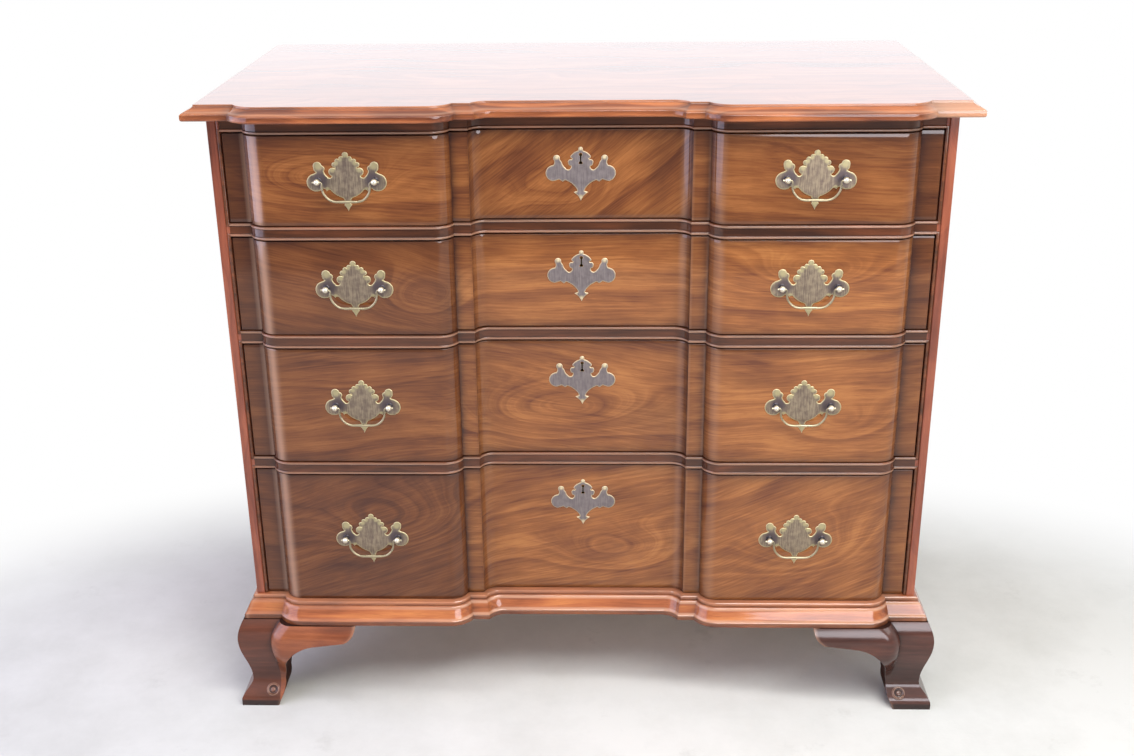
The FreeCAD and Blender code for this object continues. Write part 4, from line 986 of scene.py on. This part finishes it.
def outline(entries, spacing):
    # Points along an outline of lines and three-point arcs, about evenly spaced.
    points = [np.array([entries[0]])]
    here = entries[0]
    for entry in entries[1:]:
        there = entry[-1]
        steps = max(1, int(round(math.dist(here, there) / spacing)))
        if len(entry) == 2:
            points.append(threePointArc(here, entry[0], there, max(3, int(steps * 1.15))))
        else:
            points.append(np.stack([np.linspace(here[i], there[i], steps + 1)[1:] for i in (0, 1)], axis=1))
        here = there
    return np.concatenate(points)


def ogee(z, low, ankle, knee, top):
    # Half waves from toe to ankle to knee, then a parabola to the top.
    toeZ, ankleZ, kneeZ, topZ = foot["heights"]
    first = ease(low, ankle, np.clip((z - toeZ) / (ankleZ - toeZ), 0, 1))
    second = ease(ankle, knee, np.clip((z - ankleZ) / (kneeZ - ankleZ), 0, 1))
    last = knee + (top - knee) * np.clip((z - kneeZ) / (topZ - kneeZ), 0, 1) ** 2
    return np.where(z < ankleZ, first, np.where(z < kneeZ, second, last))


def run(start, end, steps, skip=1):
    return start + (end - start) * np.linspace(0, 1, steps + 1)[skip:]


def footPoints(blockOut):
    # Rows climb along the bracket's inner edge. Each row is the foot's L-shaped section at that height.
    path = outline(foot["edge"], foot["spacing"])
    end, z = path[:, :1], np.maximum.accumulate(path[:, 1:])
    # no two rows at the same height
    z = z + np.linspace(0, 2e-6, len(z))[:, None]
    out, line = ogee(z, *foot["outs"]), ogee(z, *foot["ridges"])
    c, width, steps = foot["chamfer"], foot["ridgeWidth"], foot["backSteps"]
    ridge, face = np.minimum(line, end), np.minimum(line + width, end)
    tip = np.maximum(end - c, 0)
    frontX = np.concatenate([run(-out, ridge, foot["legSteps"], 0), run(ridge, face, foot["curveSteps"]),
                             run(face, np.maximum(face, tip), foot["wingSteps"])], axis=1)
    frontX = np.minimum(frontX, tip)
    wingOut = 0 * frontX
    if blockOut:
        # how far the wing stands past the leg: an arc level at the wing's face
        share = np.clip((z - foot["heights"][1]) / (foot["wingFull"] - foot["heights"][1]), 0, 1)
        full = ease(foot["wingStart"], blockOut, share)
        gap = np.clip(line + width - frontX, 0, width)
        radius = (width ** 2 + full ** 2) / (2 * full)
        wingOut = full - (radius - np.sqrt(radius ** 2 - gap ** 2))
    frontY = -out - np.where(frontX > line, wingOut, 0)
    sideY = run(end - c, -out, foot["sideSteps"], 0)
    inner = foot["inner"] + 0 * end
    corner = inner + np.zeros(steps)
    back, upBack = run(end, inner, steps), run(inner, end, steps)
    x = np.concatenate([-out + 0 * sideY, frontX[:, 1:], end, end, back, corner, inner, -out + c], axis=1)
    y = np.concatenate([sideY, frontY[:, 1:], frontY[:, -1:] + c, inner, corner, upBack, end, end], axis=1)
    # worn arrises: the lower edge of the wing, the corner's edge at the toe; glaze and painted shade in the
    # crease where the wing begins
    hidden = np.zeros((len(z), 2 * steps + 2))
    nearTip = np.exp(-(end - frontX[:, 1:]) / 0.0013)
    reach = np.concatenate([sideY * 0, nearTip, end * 0 + 1, end * 0, hidden], axis=1)
    wearAndHighlight = reach * (0.55 * np.clip((z - 0.105) / 0.01, 0, 1) + 0.3 * np.clip((0.02 - z) / 0.01, 0, 1))
    # the ankle is darker than the knee and the toe, and the sole's edge is nearly black
    crease = 0.8 * np.exp(-np.abs(x - line - 0.001) / 0.003) * (y < 0) * np.clip((z - 0.05) / 0.03, 0, 1)
    sole = 0.9 * np.clip((foot["heights"][0] + 0.0008 - z) / 0.001, 0, 1)
    glazeAndShade = layered(crease, 0.5 * hill(z - 0.052, 0.022), sole)
    # the finish of each column's faces: 0 the leg, 1 the wing, 2 the sawn and hidden faces
    kind = np.full(x.shape[1], 2)
    kind[:foot["sideSteps"] + 1 + foot["legSteps"]] = 0
    kind[foot["sideSteps"] + 1 + foot["legSteps"]:sideY.shape[1] + frontX.shape[1] - 1] = 1
    kind[-2:] = 0
    return x, y, np.broadcast_to(z, x.shape), {"wearAndHighlight": wearAndHighlight, "glazeAndShade": glazeAndShade}, kind


def addFeet():
    for row, blockOut, corner, turn in (("front", plan["blockOut"], plan["plane"], 1),
                                        ("back", 0.0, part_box("foot_back_left")[1].y, -1)):
        x, y, z, values, kind = footPoints(blockOut)
        if row == "back":
            # across the back the bracket is a plain board
            y = np.maximum(y, 0)
        finishOf = np.concatenate([np.tile(kind, len(x) - 1), [2, 2]])
        for hand, sign in handSigns.items():
            points = gridPoints(sign * (plan["caseHalf"] - x), corner + turn * y, z)
            name = f"foot_{row}_{hand}"
            finish = [*foot["finish"][hand], "sawnMahogany"]
            makePiece(name + "_carved", points, cappedFaces(*x.shape), finish, "case",
                      [name], values=values, sharp=40, finishOf=finishOf)
    for hand, sign in handSigns.items():
        addScroll(hand, sign)


def addScroll(hand, sign):
    # A disc square to the leg's slope. Its face carries a domed button and a bead whose radius grows with the
    # turn, so that it leaves the disc as a tail. Across the bead the height falls as exp(-(distance/half)^2).
    size, boss, middle = scroll["radius"], scroll["boss"], scroll["height"]
    radii = np.linspace(0, 1, 40)[:, None] ** 0.8 * size
    turn = np.linspace(0, 2 * math.pi, 96, endpoint=False)[None, :]
    below, level, above = (float(ogee(np.array(middle + step), *foot["outs"])) for step in (-0.002, 0, 0.002))
    slope = (above - below) / 0.004
    long = math.hypot(1, slope)
    share = np.mod(turn * sign - scroll["tail"] * sign, 2 * math.pi) / (2 * math.pi)
    wave = np.zeros(radii.shape) * turn
    for lap, strength in ((-1, np.clip((share - 0.6) / 0.4, 0, 1)), (0, 1), (1, 1)):
        crestRadius = scroll["ring"] + scroll["grow"] * (share + lap)
        wave = np.maximum(wave, strength * hill(radii - crestRadius, scroll["half"]))
    button = np.sqrt(np.clip(1 - (radii / boss) ** 2, 0, 1))
    fall = np.clip((size - radii) / 0.0018, 0, 1) ** 0.5
    lift = scroll["rise"] * (np.where(radii < boss, 0.3 + 0.8 * button, 0.2 + 0.8 * wave) * fall - 0.1)
    # up the slope, then out along the slope's normal
    up = radii * np.sin(turn)
    x = plan["caseHalf"] - (scroll["place"] + radii * np.cos(turn))
    y = plan["plane"] - (level + up * slope / long + lift / long)
    z = middle + up / long - lift * slope / long
    columns = turn.size
    face = gridPoints(sign * x, y, z)
    back = face[-columns:] + scroll["back"]
    faces = cappedFaces(len(radii) + 1, columns)
    del faces[-2]
    # painted highlight on the bead's crest and the button, and painted shade in the groove
    crest = np.where(radii < boss, 0.12 * button, wave ** 6 * 0.5 * fall)
    valley = np.where(radii < boss, 0, (1 - wave) ** 2 * 0.9 * np.clip((0.0085 - radii) / 0.001, 0.25, 1))
    backs = np.zeros((1, columns))
    values = {"wearAndHighlight": np.concatenate([crest, backs]), "glazeAndShade": np.concatenate([valley, backs])}
    makePiece(f"foot_front_{hand}_scroll", np.concatenate([face, back]), faces, foot["finish"][hand][:1],
              "case", values=values, sharp=60)


addFeet()
print("feet made")


# Brasses

# half: right half of the plate about the height of its posts, in millimetres: lines and three-point arcs.
# fade: how deep the painted highlight along the rim reaches. lobes: painted highlights, pale round spots,
# each a
# place and a reach. wing: the grey shade round the posts: place, and where it is full and ends. paleness: of
# the lobes' painted highlight.
pull = {
    "spacing": 0.0762, "thick": 0.0012, "fade": 1.2, "wing": (35.0, 1.5, 7.0, 15.0), "paleness": 0.7,
    "lobes": [(0, 34.5, 5), (7.4, 29.0, 5), (13, 24, 5.5), (18, 14.5, 5.5), (37, 20, 8), (0, -34, 8),
              (26, -12, 5)],
    "half": [(0, 38.4), [(3.9, 35.3), (3.1, 31.9)], [(7.6, 32.0), (8.6, 28.4)], [(13.4, 28.4), (13.8, 24.8)],
             [(18.4, 21.8), (14.6, 17.8)], [(14.2, 16.0)], [(23.4, 12.2), (19.2, 6.4)],
             [(21.6, 3.8), (25.6, 5.8)], [(28.6, 9.6), (29.6, 13.0)], [(28.8, 17.8), (32.2, 20.4)],
             [(39.8, 25.0), (43.2, 17.6)],
             [(42.2, 13.4), (39.8, 11.2)], [(43.6, 9.2)], [(53.4, -2.6), (40.8, -14.4)],
             [(36.4, -13.4), (33.6, -11.0)], [(30.8, -10.8), (27.4, -14.6)], [(25.4, -12.6), (22.4, -12.6)],
             [(15.2, -19.2), (6.0, -23.6)], [(4.2, -26.6), (3.0, -30.4)], [(5.2, -33.2)],
             [(2.2, -37.0), (0, -42.0)]],
}
escutcheon = {
    "drop": 0.059, "keyDrop": 0.0358, "fade": 1.0, "wing": None, "paleness": 0.95,
    "lobes": [(0, 31.5, 4), (32, 20, 5), (9, -28.4, 5), (0, -37, 7)],
    "half": [(0, 33.6), [(3.1, 31.0), (2.7, 28.6)], [(8.6, 26.0), (13.6, 21.0)], [(13.2, 18.8), (11.2, 17.8)],
             [(12.0, 16.4)], [(16.6, 14.8), (16.6, 11.2)], [(15.6, 8.8), (13.2, 8.0)],
             [(14.8, 3.2), (20.4, 4.8)], [(23.4, 8.0), (25.2, 12.6)], [(28.0, 16.6)],
             [(32.6, 22.6), (36.4, 16.4)], [(35.4, 12.0), (37.0, 8.6)],
             [(47.2, -3.2), (38.0, -13.0)], [(33.2, -12.0), (29.4, -10.6)], [(24.4, -13.8)], [(21.2, -11.6)],
             [(13.4, -15.6), (5.6, -23.8)], [(4.6, -26.6)], [(9.8, -28.4)], [(4.6, -32.6)],
             [(2.2, -35.8), (0, -40.2)]],
    "eye": 2.5, "slot": 0.9, "flare": 2.6, "tail": 13.0,
}
mm = 0.001


def insetRing(ring, depth):
    # Moves each point inwards, but never past the middle of a narrow neck.
    before, after = np.roll(ring, 1, axis=0), np.roll(ring, -1, axis=0)
    along = after - before
    along /= np.linalg.norm(along, axis=1)[:, None] + 1e-12
    inward = np.stack([along[:, 1], -along[:, 0]], axis=1)
    gap = ring[None, :, :] - ring[:, None, :]
    ahead = (gap * inward[:, None, :]).sum(2)
    reach = (gap ** 2).sum(2) / (2 * np.maximum(ahead, 1e-6))
    room = np.where(ahead > 1e-3, reach, 100.0).min(axis=1)
    step = np.minimum(depth, 0.7 * room)
    smooth = (np.roll(step, 1) + 2 * step + np.roll(step, -1)) / 4
    return ring + inward * np.minimum(step, smooth)[:, None]


def keyholeRing(drop):
    # An eye with a flaring slot below it.
    eye, slot, flare, tail = (escutcheon[key] for key in ("eye", "slot", "flare", "tail"))
    start = math.asin(slot / eye) - math.pi / 2
    angle = np.linspace(start, math.pi - start, 24)
    ring = np.stack([eye * np.cos(angle), drop + eye * np.sin(angle)], axis=1)
    down = drop - tail
    left = [(-slot, down + 4.2), (-flare, down + 2.4), (-flare, down)]
    return np.concatenate([ring, left, [(-x, z) for x, z in reversed(left)]])


def farFrom(points, ring):
    # How far each point is from the nearest one of a ring.
    return np.sqrt(((points[:, None, :] - ring[None, :, :]) ** 2).sum(2)).min(axis=1)


def fillPlate(rings, spacing):
    # Triangles inside the first ring and outside the others, with points about evenly spread between them.
    low, high = rings[0].min(axis=0), rings[0].max(axis=0)
    x, z = np.meshgrid(np.arange(low[0], high[0], spacing), np.arange(low[1], high[1], spacing))
    inner = np.stack([x.ravel(), z.ravel()], axis=1)
    inner[:, 0] += np.where(np.round(inner[:, 1] / spacing) % 2 > 0, spacing / 2, 0)
    rimHighlight = np.concatenate(rings)
    points = np.concatenate([rimHighlight, inner[farFrom(inner, rimHighlight) > 0.45 * spacing]])
    edges = []
    start = 0
    for ring in rings:
        edges += [(start + i, start + (i + 1) % len(ring)) for i in range(len(ring))]
        start += len(ring)
    made = delaunay_2d_cdt([Vector(p) for p in points], edges, [], 4, 1e-5)
    found = np.array([tuple(p) for p in made[0]])
    faces = [list(face) for face in made[2]]
    # a face stays if a line to the right of its middle crosses each hole's outline an even number of times
    middles = np.array([found[face].mean(axis=0) for face in faces])[:, None, :]
    inHole = np.zeros(len(faces), bool)
    for hole in rings[1:]:
        a, b = hole[None, :, :], np.roll(hole, -1, axis=0)[None, :, :]
        spans = (a[..., 1] > middles[..., 1]) != (b[..., 1] > middles[..., 1])
        rise = np.where(np.abs(b[..., 1] - a[..., 1]) > 1e-9, b[..., 1] - a[..., 1], 1)
        crossing = a[..., 0] + (middles[..., 1] - a[..., 1]) * (b[..., 0] - a[..., 0]) / rise
        inHole |= (spans & (crossing > middles[..., 0])).sum(axis=1) % 2 == 1
    return found, [face for face, hidden in zip(faces, inHole) if not hidden]


def plateMesh(plate, centre, faceY, hole=None):
    # A cast plate: walls and a bevel along the outline, and a flat face filled in between it and the keyhole.
    right = outline(plate["half"], 0.7)
    ring = np.concatenate([right, right[-2:0:-1] * (-1, 1)])
    # depth in from the outline and height over the wood
    levels = ((0, 0), (0, 0.55), (0.3, 1.0), (0.7, 1.2))
    rings = [insetRing(ring, depth) if depth else ring for depth, rise in levels]
    parts = [(r, rise) for r, (depth, rise) in zip(rings, levels)]
    faces = gridFaces(len(rings), len(ring), closeColumns=True).tolist()
    holes = [] if hole is None else [hole]
    start = len(ring) * len(rings)
    for rise, border, spacing in ((levels[-1][1], rings[-1], 1.3), (0, ring, 6.0)):
        flat, triangles = fillPlate([border] + holes, spacing)
        parts.append((flat, rise))
        faces += [[start + i for i in triangle] for triangle in triangles]
        start += len(flat)
    if hole is not None:
        parts += [(hole, levels[-1][1]), (hole, 0)]
        faces += (gridFaces(2, len(hole), closeColumns=True) + start).tolist()
    flat = np.concatenate([part for part, rise in parts])
    up = np.concatenate([np.full(len(part), float(rise)) for part, rise in parts])
    # painted highlight near the outline, on the lobes and a little round the keyhole; grey round the posts
    depth = farFrom(flat, ring)
    rimHighlight = hill(depth, plate["fade"]) * np.where(depth < 0.05, 1.0, 0.92)

    def awayFrom(x, z):
        return np.hypot(np.abs(flat[:, 0]) - x, flat[:, 1] - z)

    for x, z, reach in plate["lobes"]:
        rimHighlight = np.maximum(rimHighlight, plate["paleness"] * np.clip(1.6 * (1 - awayFrom(x, z) / reach), 0, 1))
    if hole is not None:
        rimHighlight = np.maximum(rimHighlight, 0.5 * hill(farFrom(flat, hole), 0.5))
    wing = np.zeros(len(flat))
    if plate["wing"]:
        x, z, inner, outer = plate["wing"]
        wing = np.clip((outer - awayFrom(x, z)) / (outer - inner), 0, 1)
    placed = gridPoints(centre[0] + flat[:, 0] * mm, faceY - up * mm, centre[1] + flat[:, 1] * mm)
    return placed, faces, rimHighlight, wing


def joinParts(parts):
    # Several meshes, each points, faces, rim and wing, with the number of its material, as one.
    faces, finish = [], []
    start = 0
    for (points, partFaces, rimHighlight, wing), kind in parts:
        faces += [[start + i for i in face] for face in partFaces]
        finish += [kind] * len(partFaces)
        start += len(points)
    points, rimHighlight, wing = (np.concatenate([part[i] for part, kind in parts]) for i in (0, 2, 3))
    return points, faces, {"rimHighlight": rimHighlight, "wing": wing}, finish


def lathe(profile, centre, sides=28):
    # A profile of depths and radii turned about an axis along Y.
    depth, radius = np.array(profile).T
    turn = np.linspace(0, 2 * math.pi, sides, endpoint=False)
    x = centre[0] + radius[:, None] * np.cos(turn)
    z = centre[2] + radius[:, None] * np.sin(turn)
    faces = gridFaces(len(depth), sides, closeColumns=True).tolist()
    return gridPoints(x, centre[1] + depth[:, None], z), faces


post = {"reach": 0.009, "ball": 0.0044, "stem": 0.0022, "through": 0.0645, "nut": 0.010, "nutThick": 0.003}


def postProfile():
    # Depths along Y from the plate's face and radii: stem, collar, neck, ball and pin tip.
    through, stem, reach, ball = (post[key] for key in ("through", "stem", "reach", "ball"))
    collar = [(through, 0.0), (through, 0.0018), (through - 0.0006, stem), (0.0, stem), (0.0, 0.0046),
              (-0.0007, 0.0047), (-0.0013, 0.0042), (-0.0016, 0.0032), (-0.0028, 0.0027), (-0.0042, 0.0026)]
    angle = np.linspace(math.asin(0.0027 / ball), math.pi - 0.3, 16)
    end = reach + ball
    return collar + [(-reach + ball * math.cos(a), ball * math.sin(a)) for a in angle] + [
        (-end + 0.00005, 0.0006), (-end, 0.0)]


def nutMesh(centre, sides=32):
    # A square nut with its outer corners taken off: each ring is a square pulled towards a circle.
    turn = np.linspace(0, 2 * math.pi, sides, endpoint=False)
    half, thick = post["nut"] / 2, post["nutThick"]
    square = half / np.maximum(np.abs(np.cos(turn)), np.abs(np.sin(turn)))
    rings = [(0.0, square), (thick - 0.0008, square), (thick, np.minimum(square, half * 1.12)),
             (thick, np.full(sides, post["stem"]))]
    points = [gridPoints(centre[0] + r * np.cos(turn), centre[1] + d, centre[2] + r * np.sin(turn))
              for d, r in rings]
    return np.concatenate(points), gridFaces(len(rings), sides, closeColumns=True).tolist()


# knots: the bail's middle line from its pin's end to the middle of its grip, in millimetres from the middle
bail = {
    "knots": [(44.4, 0), (38.1, 0), (34.4, 0), (32.2, -2.0), (32.0, -7.0), (31.2, -12.5), (26.2, -20.8),
              (20.6, -25.0), (14.0, -26.6), (7.0, -26.6), (0, -26.6)],
    "pin": 0.0013, "arm": 0.0015, "grip": 0.0020, "gripReach": 0.011, "pinStart": 33.4,
}


def bailMesh(centre, sides=16):
    # A tube along a smooth path from pin to pin, thick at the middle of the grip.
    half = np.array(bail["knots"], float)
    knots = np.concatenate([half, half[-2::-1] * (-1, 1)]) * mm
    gaps = np.linalg.norm(np.diff(knots, axis=0), axis=1)
    place = np.concatenate([[0], np.cumsum(gaps)])
    spots = np.linspace(0, place[-1], 140)
    # a smooth curve through the knots: each stretch is a cubic with slopes taken from its neighbours
    slope = np.gradient(knots, place, axis=0)
    cell = np.clip(np.searchsorted(place, spots, side="right") - 1, 0, len(gaps) - 1)
    t = ((spots - place[cell]) / gaps[cell])[:, None]
    width = gaps[cell][:, None]
    path = ((2 * t ** 3 - 3 * t ** 2 + 1) * knots[cell] + (t ** 3 - 2 * t ** 2 + t) * width * slope[cell]
            + (3 * t ** 2 - 2 * t ** 3) * knots[cell + 1] + (t ** 3 - t ** 2) * width * slope[cell + 1])
    along = np.gradient(path, axis=0)
    along /= np.linalg.norm(along, axis=1)[:, None]
    middle = np.abs(spots - place[-1] / 2)
    radius = bail["arm"] + (bail["grip"] - bail["arm"]) * np.exp(-(middle / bail["gripReach"]) ** 2)
    pin = np.abs(path[:, 0]) > bail["pinStart"] * mm
    radius = np.where(pin, bail["pin"], radius)[:, None]
    turn = np.linspace(0, 2 * math.pi, sides, endpoint=False)
    normal = np.stack([-along[:, 1], along[:, 0]], axis=1)
    x = centre[0] + path[:, :1] + radius * np.cos(turn) * normal[:, :1]
    z = centre[2] + path[:, 1:] + radius * np.cos(turn) * normal[:, 1:]
    y = centre[1] + radius * np.sin(turn)
    # painted highlight along the grip and the elbows, strongest on the pins
    bailHighlight = np.repeat(np.where(pin, 0.9, 0.2 + 0.4 * np.clip(-path[:, 1] / 0.02, 0, 1)), sides)
    return gridPoints(x, y, z), cappedFaces(len(spots), sides), bailHighlight


def addBrasses():
    swings = {j["child"]: Vector(j["pos_m"]) for j in frame["joints"] if "bail" in j["child"]}
    blockFace = plan["plane"] - drawerFront["strip"] - plan["blockOut"]
    fieldFace = plan["plane"] + drawerFront["field"]
    plateFace = blockFace - pull["thick"]
    for number in drawerNumbers:
        drawer = f"drawer_{number}"
        # the opening's top is 2 mm over the front's
        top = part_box(f"{drawer}_front")[1].z + 2 * mm
        plates, turned = [], []
        for hand in handSigns:
            node = f"{drawer}_bail_{hand}"
            axis = swings[node]
            plates.append((plateMesh(pull, (axis.x, axis.z), blockFace), 0))
            for side in (-1, 1):
                x = axis.x + side * pull["spacing"] / 2
                points, faces = lathe(postProfile(), (x, plateFace, axis.z))
                # painted highlight in front of the collar and painted shade, dark grey, behind it
                ahead = np.where(points[:, 1] < plateFace - 4 * mm, 1.0, 0.0)
                turned.append(((points, faces, 0.9 * ahead, 1 - ahead), 0))
                points, faces = nutMesh((x, plan["plane"] + drawerFront["back"], axis.z))
                turned.append(((points, faces, np.full(len(points), 0.2), points[:, 0] * 0), 0))
            points, faces, bailHighlight = bailMesh(axis)
            makePiece(node + "_bent", points, faces, ["drawnBrass"], node, [node],
                      values={"rimHighlight": bailHighlight}, sharp=60)
        hole = keyholeRing((escutcheon["drop"] - escutcheon["keyDrop"]) / mm)
        plates.append((plateMesh(escutcheon, (0, top - escutcheon["drop"]), fieldFace, hole), 1))
        points, faces, values, finish = joinParts(plates)
        makePiece(f"{drawer}_plates_cast", points, faces, ["brushedPlate", "greyPlate"], drawer,
                  [f"{drawer}_brass_plates"], values=values, finishOf=finish)
        points, faces, values, finish = joinParts(turned)
        makePiece(f"{drawer}_posts_turned", points, faces, ["turnedBrass"], drawer,
                  [f"{drawer}_pull_posts"], values=values, sharp=40)


addBrasses()
print("brasses made")


# Finishes of the nodes that stay

stayingFinish = {"back_panel": "poplarUpright", "case_bottom": "planedPoplar", "drawer_runners": "poplarDeep",
                 "dust_boards": "planedPoplar", "drawer_stops": "planedPoplar"}
drawerFinish = {"sides": "poplarDeep", "back": "planedPoplar", "bottom": "planedPoplar",
                "lock_case": "milledBrass", "lock_bolt": "milledBrass"}
for number in drawerNumbers:
    for part, finish in drawerFinish.items():
        stayingFinish[f"drawer_{number}_{part}"] = finish
# the glue blocks are painted near black as shade, and trimmed where they would show under the wings
blocks = copyNode("foot_blocks", "foot_blocks_shaded", ["poplarPaintedShade"], "case")
carve(blocks, [boxCutter((-0.449, -0.3, 0.05), (0.449, 0.3, 0.2))])
for node, finish in stayingFinish.items():
    mesh = nodes[node].data
    mesh.materials.clear()
    mesh.materials.append(materials[finish])
print("staying nodes finished")
